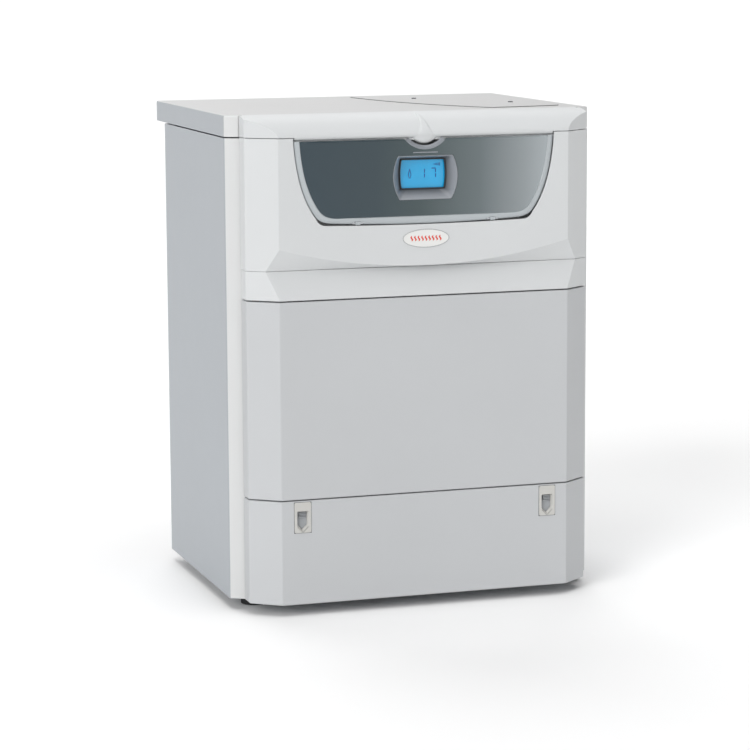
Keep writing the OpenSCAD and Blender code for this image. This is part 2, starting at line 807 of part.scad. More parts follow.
module door_insulation() {
    color([0.9, 0.88, 0.82]) difference() {
        rod_y(exchanger_y + 2.2, exchanger_y + 13, 0, exchanger_z, mouth_r - 1);
        rod_y(exchanger_y, exchanger_y + 20, 0, exchanger_z, burner_r + 0.5);
        for (s = [-1, 1]) rod_y(exchanger_y, exchanger_y + 20, 55 * s, exchanger_z + 20, 5);
    }
}

// Rod with a ceramic sleeve that passes through the burner door
module electrode(x) {
    z = exchanger_z + 20;
    rod_y(exchanger_y - door_t - 22, exchanger_y + 10, x, z, 4);
    rod_y(exchanger_y - door_t - 30, exchanger_y + 70, x, z, 1.5);
}

module spark_electrode() {
    color([0.92, 0.9, 0.85]) electrode(55);
}

module flame_sensor() {
    color([0.92, 0.9, 0.85]) electrode(-55);
}

// ---- Fan ----

fan_rear_y = fan_front_y + fan_w;
fan_wall = 3;

module fan_housing() {
    elbow_z = exchanger_z + 28;
    door_face = exchanger_y - door_t - 12;
    color([0.65, 0.66, 0.68]) difference() {
        union() {
            rod_y(fan_front_y, fan_rear_y, fan_x, fan_z, fan_r);
            block(fan_x - fan_r - 8, fan_x - 32, fan_front_y, fan_rear_y, fan_z, elbow_z);
            rod_y(fan_rear_y - 1, door_face, 0, exchanger_z, 28);
            rod_y(fan_front_y - 36, fan_front_y + 1, fan_x, fan_z, 30);
            block(fan_x - fan_r - 8, 28, fan_front_y, fan_rear_y, elbow_z - 56, elbow_z);
        }
        rod_y(fan_front_y + fan_wall, fan_rear_y - fan_wall, fan_x, fan_z, fan_r - fan_wall);
        block(fan_x - fan_r - 5, fan_x - 35, fan_front_y + fan_wall, fan_rear_y - fan_wall,
            fan_z, elbow_z - fan_wall);
        block(fan_x - fan_r - 5, 25, fan_front_y + fan_wall, fan_rear_y - fan_wall,
            elbow_z - 53, elbow_z - fan_wall);
        rod_y(fan_front_y + 10, door_face + 1, 0, exchanger_z, 25);
        rod_y(fan_front_y - 40, fan_front_y + 10, fan_x, fan_z, 26);
        rod_y(fan_rear_y - 10, fan_rear_y + 1, fan_x, fan_z, 8);
        rod_x(fan_x - 40, fan_x - 20, fan_front_y - 18, fan_z, gas_r - 1);
    }
}

module fan_impeller() {
    y0 = fan_front_y + fan_wall + 4;
    y1 = fan_rear_y - fan_wall - 4;
    color([0.5, 0.52, 0.55]) difference() {
        union() {
            rod_y(y1 - 2, y1, fan_x, fan_z, impeller_r);
            rod_y(y0, y0 + 2, fan_x, fan_z, impeller_r);
            for (i = [0:11]) translate([fan_x, 0, fan_z]) rotate([0, 30 * i, 0])
                block(impeller_r - 20, impeller_r - 1, y0 + 1, y1 - 1, -1, 1);
            rod_y(y1 - 16, y1 - 1, fan_x, fan_z, 12);
            rod_y(y1 - 10, fan_rear_y + 26, fan_x, fan_z, 4);
        }
        rod_y(y0 - 1, y0 + 3, fan_x, fan_z, impeller_r - 22);
    }
}

module fan_motor() {
    color([0.22, 0.23, 0.24]) difference() {
        union() {
            rod_y(fan_rear_y + 0.2, fan_rear_y + 46, fan_x, fan_z, motor_r);
            rod_y(fan_rear_y + 0.2, fan_rear_y + 3, fan_x, fan_z, motor_r + 12);
        }
        rod_y(fan_rear_y, fan_rear_y + 30, fan_x, fan_z, 4 + run_gap);
    }
}

// ---- Gas line ----

gas_valve_y = fan_front_y - 18;
cock_y = 20;

module gas_valve() {
    color([0.72, 0.73, 0.75]) union() {
        block(gas_x - 26, gas_x + 34, gas_valve_y - 28, gas_valve_y + 28, fan_z - 34, fan_z + 34);
        rod_x(gas_x + 30, fan_x - 30.5, gas_valve_y, fan_z, gas_r);
        rod_z(fan_z + 30, fan_z + 62, gas_x - 6, gas_valve_y, 15);
        rod_z(fan_z + 30, fan_z + 54, gas_x + 22, gas_valve_y, 11);
        rod_z(fan_z - 44, fan_z - 30, gas_x, gas_valve_y, gas_r + 5);
    }
}

module gas_pipe() {
    color([0.8, 0.66, 0.3]) difference() {
        union() {
            rod_y(gas_valve_y, stub_end_y, gas_x, water_z, gas_r);
            translate([gas_x, gas_valve_y, water_z]) sphere(r = gas_r);
            rod_z(water_z, fan_z - 44.2, gas_x, gas_valve_y, gas_r);
            rod_y(cock_y - 20, cock_y + 20, gas_x, water_z, gas_r + 6);
            rod_z(water_z, water_z + 22, gas_x, cock_y, 8);
            rod_y(collar_y - 5, collar_y, gas_x, water_z, gas_r + 5);
        }
        rod_y(gas_valve_y, stub_end_y + 1, gas_x, water_z, gas_r - 1.5);
        rod_z(water_z, fan_z - 43, gas_x, gas_valve_y, gas_r - 1.5);
        rod_z(water_z + 12, water_z + 23, gas_x, cock_y, 3 + run_gap);
    }
}

module gas_cock_lever() {
    color([0.85, 0.7, 0.15]) union() {
        rod_z(water_z + 13, water_z + 24, gas_x, cock_y, 3);
        rod_z(water_z + 22.5, water_z + 27, gas_x, cock_y, 7);
        block(gas_x - 6, gas_x + 6, cock_y, cock_y + 60, water_z + 23, water_z + 26);
    }
}

// ---- Flue, air and condensate ----

module flue_duct() {
    inner = spigot_r - spigot_wall;
    color([0.85, 0.86, 0.87]) difference() {
        union() {
            rod_z(flue_collar_z - 30, spigot_z, flue_x, flue_y, spigot_r);
            translate([flue_x, flue_y, spigot_z]) sphere(r = spigot_r);
            rod_y(flue_y, spigot_end_y, flue_x, spigot_z, spigot_r);
            rod_y(panel_rear_y - 6, panel_rear_y - 3, flue_x, spigot_z, spigot_r + 8);
        }
        rod_z(flue_collar_z - 31, spigot_z, flue_x, flue_y, inner);
        translate([flue_x, flue_y, spigot_z]) sphere(r = inner);
        rod_y(flue_y, spigot_end_y + 1, flue_x, spigot_z, inner);
    }
}

module air_duct() {
    color([0.85, 0.86, 0.87]) difference() {
        union() {
            rod_y(flue_y, spigot_end_y, air_x, spigot_z, spigot_r);
            rod_y(panel_rear_y - 6, panel_rear_y - 3, air_x, spigot_z, spigot_r + 8);
        }
        rod_y(flue_y - 1, spigot_end_y + 1, air_x, spigot_z, spigot_r - spigot_wall);
    }
}

module condensate_trap() {
    trap_z = exchanger_z - exchanger_r - 26;
    color([0.75, 0.77, 0.78]) difference() {
        union() {
            rod_z(drain_z - 18, trap_z - 70, trap_x, trap_y, 26);
            rod_z(trap_z - 71, trap_z - 0.2, trap_x, trap_y, 12);
            rod_y(trap_y, drain_y, trap_x, drain_z + 30, drain_r);
            rod_x(trap_x, drain_x, drain_y, drain_z + 30, drain_r);
            translate([trap_x, drain_y, drain_z + 30]) sphere(r = drain_r);
            rod_z(drain_z, drain_z + 30, drain_x, drain_y, drain_r);
            for (z = [drain_z, drain_z + 30]) translate([drain_x, drain_y, z]) sphere(r = drain_r);
            rod_y(drain_y, stub_end_y, drain_x, drain_z, drain_r);
            rod_y(collar_y - 5, collar_y, drain_x, drain_z, drain_r + 5);
        }
        rod_z(drain_z - 15, trap_z - 73, trap_x, trap_y, 23);
        rod_z(trap_z - 80, trap_z + 1, trap_x, trap_y, 9);
        rod_y(drain_y + 2, stub_end_y + 1, drain_x, drain_z, drain_r - 2);
    }
}

// ---- Water side ----

module expansion_vessel() {
    x1 = vessel_x + vessel_w;
    color([0.7, 0.15, 0.12]) union() {
        rod_x(vessel_x + 12, x1 - 12, vessel_y, vessel_z, vessel_r);
        translate([x1 - 12, vessel_y, vessel_z]) rotate([0, 90, 0])
            cylinder(r1 = vessel_r, r2 = vessel_r - 40, h = 12);
        translate([vessel_x + 12, vessel_y, vessel_z]) rotate([0, -90, 0])
            cylinder(r1 = vessel_r, r2 = vessel_r - 40, h = 12);
        rod_x(vessel_x + vessel_w / 2 - 4, vessel_x + vessel_w / 2 + 4, vessel_y, vessel_z, vessel_r + 5);
        rod_x(vessel_x - 16, vessel_x + 2, vessel_y, vessel_z, 9);
    }
}

module pump_body() {
    y0 = pump_y - 30;
    color([0.3, 0.32, 0.34]) difference() {
        union() {
            rod_y(y0, pump_y + 12, return_x, pump_z, pump_r);
            rod_y(pump_y - 95, y0 + 1, return_x, pump_z, pump_r - 6);
            rod_y(pump_y + 10, pump_y + 30, return_x, pump_z, water_r + 4);
            rod_z(pump_z, pump_z + pump_r + 16, return_x, pump_y - 10, water_r + 4);
        }
        rod_y(y0 + 3, pump_y + 9, return_x, pump_z, pump_r - 4);
        rod_y(pump_y, pump_y + 31, return_x, pump_z, water_r + 0.1);
        rod_z(pump_z + 20, pump_z + pump_r + 17, return_x, pump_y - 10, water_r + 0.1);
        rod_y(pump_y - 80, y0 + 5, return_x, pump_z, 5 + run_gap);
    }
}

module pump_rotor() {
    color([0.55, 0.5, 0.35]) union() {
        rod_y(pump_y - 22, pump_y - 6, return_x, pump_z, 30);
        rod_y(pump_y - 78, pump_y - 20, return_x, pump_z, 5);
    }
}

// Flow: from the exchanger's left port down to the rear connection
module flow_pipe() {
    x = -190;
    color([0.8, 0.5, 0.32]) union() {
        rod_x(x, -150, port_y, exchanger_z, water_r);
        translate([x, port_y, exchanger_z]) sphere(r = water_r);
        rod_z(water_z + 60, exchanger_z, x, port_y, water_r);
        translate([x, port_y, water_z + 60]) sphere(r = water_r);
        rod_x(flow_x, x, port_y, water_z + 60, water_r);
        translate([flow_x, port_y, water_z + 60]) sphere(r = water_r);
        rod_z(water_z, water_z + 60, flow_x, port_y, water_r);
        translate([flow_x, port_y, water_z]) sphere(r = water_r);
        difference() {
            union() {
                rod_y(port_y, stub_end_y, flow_x, water_z, water_r);
                rod_y(collar_y - 5, collar_y, flow_x, water_z, water_r + 5);
            }
            rod_y(port_y + 10, stub_end_y + 1, flow_x, water_z, water_r - 1.5);
        }
        rod_z(water_z + 40, water_z + 66, flow_x, port_y, water_r + 4);
        rod_y(valve_y, port_y, flow_x, water_z + 54, water_r);
        rod_z(water_z + 54, water_z + 80, flow_x, valve_y, water_r);
        rod_z(water_z + 79, water_z + 87.5, flow_x, valve_y, 6 - run_gap);
    }
}

// Return: rear connection to the pump, and from the pump up to the right port
module return_pipe() {
    up_z = pump_z + pump_r + 50;
    y = pump_y - 10;
    cross_y = 95;
    riser_x = 175;
    color([0.8, 0.5, 0.32]) {
        difference() {
            union() {
                rod_y(pump_y + 16, stub_end_y, return_x, water_z, water_r);
                rod_y(collar_y - 5, collar_y, return_x, water_z, water_r + 5);
            }
            rod_y(pump_y + 15, stub_end_y + 1, return_x, water_z, water_r - 1.5);
        }
        union() {
            rod_z(pump_z + pump_r + 4, up_z, return_x, y, water_r);
            translate([return_x, y, up_z]) sphere(r = water_r);
            rod_y(y, cross_y, return_x, up_z, water_r);
            translate([return_x, cross_y, up_z]) sphere(r = water_r);
            rod_x(return_x, riser_x, cross_y, up_z, water_r);
            translate([riser_x, cross_y, up_z]) sphere(r = water_r);
            rod_y(cross_y, port_y, riser_x, up_z, water_r);
            translate([riser_x, port_y, up_z]) sphere(r = water_r);
            rod_z(up_z, exchanger_z, riser_x, port_y, water_r);
            translate([riser_x, port_y, exchanger_z]) sphere(r = water_r);
            rod_x(140, riser_x, port_y, exchanger_z, water_r);
        }
    }
}

module safety_valve_cap() {
    z = water_z + 80.5;
    color([0.75, 0.12, 0.1]) difference() {
        rod_z(z, z + 22, flow_x, valve_y, 15);
        for (i = [0:7]) translate([flow_x, valve_y, 0]) rotate([0, 0, 45 * i])
            rod_z(z - 1, z + 23, 16.5, 0, 3);
        rod_z(z - 1, z + 8, flow_x, valve_y, 6);
    }
}

base_frame();
support_frame();
left_side_panel();
right_side_panel();
rear_panel();
lid();
top_visor();
service_plate();
lid_screws();
fascia();
grip_rail();
mid_panel();
lower_panel();
latch_frames();
latch_left();
latch_right();
flap();
flap_rim();
flap_bezel();
flap_hinge_pins();
badge();
control_panel();
display_frame();
display_glass();
heating_knob();
hot_water_knob();
reset_button();
info_button();
pressure_gauge();
gauge_needle();
gauge_glass();
control_box();
circuit_board();
foot_front_left();
foot_front_right();
foot_rear_left();
foot_rear_right();
foot_locknuts();
heat_exchanger();
exchanger_coil();
burner_door();
burner_tube();
door_insulation();
spark_electrode();
flame_sensor();
fan_housing();
fan_impeller();
fan_motor();
gas_valve();
gas_pipe();
gas_cock_lever();
flue_duct();
air_duct();
condensate_trap();
expansion_vessel();
pump_body();
pump_rotor();
flow_pipe();
return_pipe();
safety_valve_cap();
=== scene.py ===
"""Visual model of a floor-standing boiler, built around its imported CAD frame."""
import json
import math

import bmesh
import bpy
from mathutils import Matrix, Vector


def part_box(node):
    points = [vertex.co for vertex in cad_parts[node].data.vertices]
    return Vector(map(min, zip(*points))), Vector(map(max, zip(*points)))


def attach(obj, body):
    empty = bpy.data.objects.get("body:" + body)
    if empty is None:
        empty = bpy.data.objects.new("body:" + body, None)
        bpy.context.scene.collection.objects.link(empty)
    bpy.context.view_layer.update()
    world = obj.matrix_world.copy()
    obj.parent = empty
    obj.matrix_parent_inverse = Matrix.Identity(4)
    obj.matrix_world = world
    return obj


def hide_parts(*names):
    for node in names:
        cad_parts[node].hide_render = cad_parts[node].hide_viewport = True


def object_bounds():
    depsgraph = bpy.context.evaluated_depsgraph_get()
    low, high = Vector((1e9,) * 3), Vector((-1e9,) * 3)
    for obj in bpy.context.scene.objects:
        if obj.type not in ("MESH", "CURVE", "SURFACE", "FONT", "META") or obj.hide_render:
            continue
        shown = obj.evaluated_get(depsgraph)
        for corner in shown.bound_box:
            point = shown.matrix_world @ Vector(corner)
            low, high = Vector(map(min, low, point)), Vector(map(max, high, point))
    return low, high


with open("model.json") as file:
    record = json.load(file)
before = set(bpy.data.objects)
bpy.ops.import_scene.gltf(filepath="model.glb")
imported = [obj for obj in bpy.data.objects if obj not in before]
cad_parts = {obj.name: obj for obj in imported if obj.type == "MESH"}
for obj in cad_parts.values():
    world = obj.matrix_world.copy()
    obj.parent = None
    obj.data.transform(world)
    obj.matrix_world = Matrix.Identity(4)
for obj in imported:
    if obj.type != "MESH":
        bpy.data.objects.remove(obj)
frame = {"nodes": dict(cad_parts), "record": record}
CAD_LOW, CAD_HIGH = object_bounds()

# ---- Sizes from the frame, in metres ----

LID_LOW, LID_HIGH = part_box("lid")
MID_LOW, MID_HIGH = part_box("mid_panel")
LOWER_LOW, LOWER_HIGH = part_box("lower_panel")
GRIP_LOW, GRIP_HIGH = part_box("grip_rail")
FASCIA_LOW, FASCIA_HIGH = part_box("fascia")
VISOR_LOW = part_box("top_visor")[0]
SIDE_LOW, SIDE_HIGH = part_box("right_side_panel")
FLAP_LOW, FLAP_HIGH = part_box("flap")
RIM_LOW, RIM_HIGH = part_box("flap_rim")
BEZEL_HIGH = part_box("flap_bezel")[1]
GLASS_LOW, GLASS_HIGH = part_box("display_glass")
BADGE_LOW, BADGE_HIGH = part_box("badge")
PLATE_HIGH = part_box("service_plate")[1]
LATCH_LOW, LATCH_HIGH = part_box("latch_frames")
TRAY_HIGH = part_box("control_panel")[1]
PINS_LOW, PINS_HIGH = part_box("flap_hinge_pins")

foot = LOWER_LOW.z
front_y = MID_LOW.y
side_x = LID_HIGH.x
facet_x = MID_HIGH.x
return_y = MID_HIGH.y
panel_rear_y = SIDE_HIGH.y
groove_z = GRIP_HIGH.z
visor_z = FASCIA_HIGH.z + 0.001
top_z = LID_HIGH.z
band_z = LID_LOW.z
flap_top_z = FLAP_HIGH.z
hinge_y = (PINS_LOW.y + PINS_HIGH.y) / 2
hinge_z = (PINS_LOW.z + PINS_HIGH.z) / 2

# ---- Sizes of the design that no box gives ----

front_half = 0.236
facet_d = 0.034
facet_y = front_y + facet_d
facet_angle = math.atan2(facet_d, facet_x - front_half)
corner_y = front_y + 0.079
lid_front_y = corner_y - 0.006
groove_d = 0.014
strip_w = 0.027
strip_d = 0.01575
sheet = 0.0015
flange = 0.012
bend = 0.004
hinge_x = 0.110
flap_gap = 0.0012
relief_z = foot + 0.5893
scoop_r = 0.043
scoop_z = foot + 0.745
nose_r = 0.026
nose_z = foot + 0.737
window_z = foot + 0.6635
screen_half_w = 0.0358
screen_half_h = 0.022
latch_x = 0.2025
latch_z = (LATCH_LOW.z + LATCH_HIGH.z) / 2


# ---- Outlines ----

def curve(a, b, c, steps):
    """Points of a quadratic curve from a to c, drawn towards b."""
    points = []
    for i in range(steps + 1):
        u = i / steps
        points.append(tuple((1 - u) ** 2 * p + 2 * u * (1 - u) * q + u * u * r for p, q, r in zip(a, b, c)))
    return points


def arc(centre, radius, start, end, steps):
    """Points of an arc, with its angles in degrees."""
    angles = [math.radians(start + (end - start) * i / steps) for i in range(steps + 1)]
    return [(centre[0] + radius * math.cos(a), centre[1] + radius * math.sin(a)) for a in angles]


def mirrored(points):
    """A right-hand half outline followed by its mirror image, as one closed outline."""
    return list(points) + [(-x, z) for x, z in reversed(points) if abs(x) > 1e-6]


def rounded(points, radius, steps=4, closed=False):
    """The same line with each inner corner turned into an arc."""
    result = []
    count = len(points)
    for i, point in enumerate(points):
        if not closed and i in (0, count - 1):
            result.append(tuple(point))
            continue
        here = Vector(point)
        before = (Vector(points[i - 1]) - here).normalized()
        after = (Vector(points[(i + 1) % count]) - here).normalized()
        half = before.angle(after) / 2
        if half > math.radians(88):
            result.append(tuple(point))
            continue
        centre = here + (before + after).normalized() * radius / math.sin(half)
        first = (here + before * radius / math.tan(half) - centre).normalized()
        last = (here + after * radius / math.tan(half) - centre).normalized()
        for k in range(steps + 1):
            result.append(tuple(centre + first.slerp(last, k / steps) * radius))
    return result


def by_angle(outline, centre, steps):
    """A closed outline seen from centre, as one point on it for each of steps equal angles."""
    result = []
    count = len(outline)
    for i in range(steps):
        angle = 2 * math.pi * i / steps
        ray = Vector((math.cos(angle), math.sin(angle)))
        best = 0
        for k in range(count):
            a = Vector(outline[k]) - Vector(centre)
            edge = Vector(outline[(k + 1) % count]) - Vector(centre) - a
            cross = ray.x * edge.y - ray.y * edge.x
            if abs(cross) < 1e-12:
                continue
            reach = (a.x * edge.y - a.y * edge.x) / cross
            share = (a.x * ray.y - a.y * ray.x) / cross
            if reach > best and -1e-9 <= share <= 1 + 1e-9:
                best = reach
        result.append((centre[0] + ray.x * best, centre[1] + ray.y * best))
    return result


def even(points, steps):
    """An open line as steps + 1 points at equal distances along it."""
    lengths = [0.0]
    for a, b in zip(points, points[1:]):
        lengths.append(lengths[-1] + (Vector(b) - Vector(a)).length)
    result = []
    k = 0
    for i in range(steps + 1):
        target = lengths[-1] * i / steps
        while k < len(points) - 2 and lengths[k + 1] < target:
            k += 1
        share = (target - lengths[k]) / (lengths[k + 1] - lengths[k])
        result.append(tuple(Vector(points[k]).lerp(Vector(points[k + 1]), share)))
    return result


def front_corners(inset, back):
    """Plan of the front shells, from the left return to the right one, moved inwards by inset."""
    a = inset * math.tan(facet_angle / 2)
    b = inset * math.tan((math.pi / 2 - facet_angle) / 2)
    right = [(front_half - a, front_y + inset), (facet_x - inset, facet_y + b), (facet_x - inset, back)]
    return [(-x, y) for x, y in reversed(right)] + right


def front_path(inset, back, radius):
    return rounded(front_corners(inset, back), max(radius - inset, 0.0003))


def flap_edge(d, turn, end, base_x):
    """Right half of an edge round the flap, moved outwards by d, from the top to the middle of the bottom."""
    side = curve((0.211 + d, flap_top_z), (0.206 + d, foot + 0.640), (0.176 + d, foot + 0.602 - d), 16)
    corner = curve(side[-1], turn, end, 8)
    base = curve(corner[-1], (base_x, foot + 0.588 - d), (0, foot + 0.588 - d), 12)
    return side + corner[1:] + base[1:]


def rim_half():
    """Right half of the rim's outer edge."""
    return flap_edge(0, (0.168, foot + 0.5925), (0.146, foot + 0.592), 0.073)


def opening_half():
    """Right half of the fascia's opening, lower near its corners, where the rim swings down."""
    return flap_edge(flap_gap, (0.172, relief_z), (0.160, relief_z), 0.079)


def panel_half():
    """Right half of the dark panel's edge, down to where its straight bottom starts."""
    side = curve((0.202, flap_top_z), (0.198, foot + 0.650), (0.172, foot + 0.613), 16)
    return side + curve(side[-1], (0.163, foot + 0.6005), (0.144, foot + 0.600), 8)[1:]


def window_half(d):
    """Right half of the display window's edge, moved outwards by d."""
    side = curve((0.0447 + d, window_z + 0.026), (0.0585 + d, window_z - 0.004),
                 (0.0435 + d, window_z - 0.034), 10)
    top = [(0, window_z + 0.028 + d), (0.0427 + d, window_z + 0.028 + d)]
    return top + side + [(0.0405 + d, window_z - 0.0374 - d), (0, window_z - 0.0374 - d)]


def screen_half(d):
    """Right half of the small opening that frames the display, moved outwards by d."""
    corner = screen_half_w - 0.001 + d
    top = window_z + screen_half_h + d
    low = window_z - screen_half_h - d
    return [(0, top)] + curve((corner, top), (corner + 0.004, window_z), (corner, low), 8) + [(0, low)]


def crease_z(x):
    """Level of the smile-shaped crease on the fascia."""
    return groove_z + 0.002 + 0.032 * (min(abs(x), front_half) / front_half) ** 2


# ---- Meshes ----

def smooth(mesh, angle):
    """Smooth faces, with sharp edges kept where they meet at more than angle."""
    for polygon in mesh.polygons:
        polygon.use_smooth = True
    mesh.set_sharp_from_angle(angle=math.radians(angle))


def piece(name, verts, faces, body, slot, smooth_angle=35, finish=None):
    """A mesh object that rides on a body, smooth up to smooth_angle."""
    mesh = bpy.data.meshes.new(name)
    mesh.from_pydata([tuple(v) for v in verts], [], faces)
    work = bmesh.new()
    work.from_mesh(mesh)
    bmesh.ops.remove_doubles(work, verts=work.verts, dist=1e-6)
    bmesh.ops.recalc_face_normals(work, faces=work.faces)
    work.to_mesh(mesh)
    work.free()
    smooth(mesh, smooth_angle)
    made = bpy.data.objects.new(name, mesh)
    bpy.context.scene.collection.objects.link(made)
    made.data.materials.append(MATERIALS[finish or slot])
    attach(made, body)
    return made


def soften(made, width, segments=2, angle=32):
    """Small round edges on a finished piece, with its flat faces kept flat."""
    bevel = made.modifiers.new("soft_edges", "BEVEL")
    bevel.width = width
    bevel.segments = segments
    bevel.limit_method = "ANGLE"
    bevel.angle_limit = math.radians(angle)
    bevel.use_clamp_overlap = True
    normals = made.modifiers.new("flat_faces", "WEIGHTED_NORMAL")
    normals.keep_sharp = False
    return made


def joined(parts):
    """Several (verts, faces) lists as one."""
    verts, faces = [], []
    for part_verts, part_faces in parts:
        start = len(verts)
        verts += part_verts
        faces += [[start + i for i in face] for face in part_faces]
    return verts, faces


def face_adder(parts):
    """A call that adds one face to parts, given by its corner points."""
    def add(*points):
        parts.append((list(points), [list(range(len(points)))]))
    return add


def loft(rings, closed_rings=True, closed_loft=False, caps=True):
    """Quads between equal rings of points. Caps close both ends of an open loft."""
    n = len(rings[0])
    verts = [tuple(p) for ring in rings for p in ring]
    faces = []
    spans = range(len(rings)) if closed_loft else range(len(rings) - 1)
    sides = range(n) if closed_rings else range(n - 1)
    for i in spans:
        a = i * n
        b = (i + 1) % len(rings) * n
        for k in sides:
            m = (k + 1) % n
            faces.append([a + k, a + m, b + m, b + k])
    if caps and closed_rings and not closed_loft:
        faces.append(list(range(n - 1, -1, -1)))
        faces.append([(len(rings) - 1) * n + k for k in range(n)])
    if caps and closed_loft and not closed_rings:
        faces.append([i * n for i in range(len(rings))])
        faces.append([i * n + n - 1 for i in reversed(range(len(rings)))])
    return verts, faces


def upright(outline, z0, z1):
    """A plan outline in X and Y as a prism between two levels."""
    return loft([[(x, y, z) for x, y in outline] for z in (z0, z1)])


def facing(outline, y0, y1):
    """A front outline in X and Z as a prism between two depths."""
    return loft([[(x, y, z) for x, z in outline] for y in (y0, y1)])


def plate_with_holes(outline, holes, y0, y1):
    """A front outline with holes, as a prism between two depths."""
    work = bmesh.new()
    for ring in [outline] + holes:
        verts = [work.verts.new((x, y0, z)) for x, z in ring]
        for a, b in zip(verts, verts[1:] + verts[:1]):
            work.edges.new((a, b))
    bmesh.ops.triangle_fill(work, edges=work.edges[:], use_beauty=True, use_dissolve=False)
    made = bmesh.ops.extrude_face_region(work, geom=work.faces[:])
    moved = [v for v in made["geom"] if isinstance(v, bmesh.types.BMVert)]
    bmesh.ops.translate(work, verts=moved, vec=(0, y1 - y0, 0))
    work.verts.index_update()
    verts = [tuple(v.co) for v in work.verts]
    faces = [[v.index for v in face.verts] for face in work.faces]
    work.free()
    return verts, faces


def hoop(profile, centre, steps=96):
    """A closed ring about an axis along Y: profile holds the (radius, y) corners of its section."""
    sections = []
    for i in range(steps):
        angle = 2 * math.pi * i / steps
        sections.append([(centre[0] + r * math.cos(angle), y, centre[1] + r * math.sin(angle)) for r,
                         y in profile])
    return loft(sections, closed_loft=True)


def carve(made, *cutters):
    """Cuts (verts, faces) solids out of a piece."""
    for verts, faces in cutters:
        mesh = bpy.data.meshes.new("cutter")
        mesh.from_pydata(verts, [], faces)
        work = bmesh.new()
        work.from_mesh(mesh)
        bmesh.ops.recalc_face_normals(work, faces=work.faces)
        work.to_mesh(mesh)
        work.free()
        tool = bpy.data.objects.new("cutter", mesh)
        bpy.context.scene.collection.objects.link(tool)
        modifier = made.modifiers.new("cut", "BOOLEAN")
        modifier.operation = "DIFFERENCE"
        modifier.solver = "EXACT"
        modifier.object = tool
        bpy.context.view_layer.update()
        shape = made.evaluated_get(bpy.context.evaluated_depsgraph_get())
        made.data = bpy.data.meshes.new_from_object(shape)
        made.modifiers.clear()
        bpy.data.objects.remove(tool)
    return made


def box_part(x0, x1, y0, y1, z0, z1):
    return upright([(x0, y0), (x1, y0), (x1, y1), (x0, y1)], z0, z1)


# ---- Materials ----

def rgb(red, green, blue):
    """A display colour from 0 to 255 as linear light."""
    def linear(value):
        value = value / 255
        return value / 12.92 if value <= 0.04045 else ((value + 0.055) / 1.055) ** 2.4
    return (linear(red), linear(green), linear(blue), 1.0)


def shade(colour, factor):
    return tuple(min(c * factor, 1.0) for c in colour[:3]) + (1.0,)


class Nodes:
    """A material's node tree, with short calls for the nodes that every finish uses."""

    def __init__(self, name):
        self.material = bpy.data.materials.new(name)
        self.material.use_nodes = True
        self.tree = self.material.node_tree
        self.tree.nodes.clear()
        output = self.add("ShaderNodeOutputMaterial")
        self.shader = self.add("ShaderNodeBsdfPrincipled")
        self.link(self.shader.outputs[0], output.inputs["Surface"])
        self.place = self.add("ShaderNodeTexCoord").outputs["Object"]

    def add(self, kind, **values):
        node = self.tree.nodes.new(kind)
        for key, value in values.items():
            setattr(node, key, value)
        return node

    def link(self, a, b):
        self.tree.links.new(a, b)

    def stretched(self, x, y, z):
        mapping = self.add("ShaderNodeMapping")
        mapping.inputs["Scale"].default_value = (x, y, z)
        self.link(self.place, mapping.inputs["Vector"])
        return mapping.outputs[0]

    def noise(self, scale, detail=2.0, rough=0.5, place=None):
        node = self.add("ShaderNodeTexNoise")
        node.inputs["Scale"].default_value = scale
        node.inputs["Detail"].default_value = detail
        node.inputs["Roughness"].default_value = rough
        self.link(place or self.place, node.inputs["Vector"])
        return node.outputs["Fac"]

    def cells(self, scale, feature="F1", output="Distance"):
        node = self.add("ShaderNodeTexVoronoi", feature=feature)
        node.inputs["Scale"].default_value = scale
        self.link(self.place, node.inputs["Vector"])
        return node.outputs[output]

    def ramp(self, factor, stops):
        node = self.add("ShaderNodeValToRGB")
        for element in list(node.color_ramp.elements)[1:]:
            node.color_ramp.elements.remove(element)
        first = node.color_ramp.elements[0]
        first.position, first.color = stops[0]
        for position, colour in stops[1:]:
            node.color_ramp.elements.new(position).color = colour
        self.link(factor, node.inputs[0])
        return node.outputs[0]

    def spread(self, factor, low, high):
        node = self.add("ShaderNodeMapRange")
        node.inputs["From Min"].default_value = 0.3
        node.inputs["From Max"].default_value = 0.7
        node.inputs["To Min"].default_value = low
        node.inputs["To Max"].default_value = high
        self.link(factor, node.inputs["Value"])
        return node.outputs[0]

    def bump(self, height, distance, strength=1.0, below=None):
        node = self.add("ShaderNodeBump")
        node.inputs["Strength"].default_value = strength
        node.inputs["Distance"].default_value = distance
        self.link(height, node.inputs["Height"])
        if below:
            self.link(below, node.inputs["Normal"])
        return node.outputs[0]

    def set(self, **sockets):
        for name, value in sockets.items():
            self.shader.inputs[name.replace("_", " ")].default_value = value

    def feed(self, source, socket):
        self.link(source, self.shader.inputs[socket])


def coated(name, colour, roughness, cloud=0.02, peel_scale=420, peel=0.00006, metallic=0.0, coat=0.0,
           specular=0.5):
    """Paint or moulded plastic: faint clouds in the colour and the gloss, and a fine skin texture."""
    n = Nodes(name)
    clouds = n.noise(5.0, 3.0)
    n.feed(n.ramp(clouds, [(0.3, shade(colour, 1 - cloud)), (0.7, shade(colour, 1 + cloud))]), "Base Color")
    n.feed(n.spread(n.noise(38.0, 3.0), roughness - cloud, roughness + cloud), "Roughness")
    n.feed(n.bump(n.noise(peel_scale, 2.0), peel, 0.5), "Normal")
    n.set(Metallic=metallic, Coat_Weight=coat, Coat_Roughness=0.15, IOR=1.5, Specular_IOR_Level=specular)
    return n.material


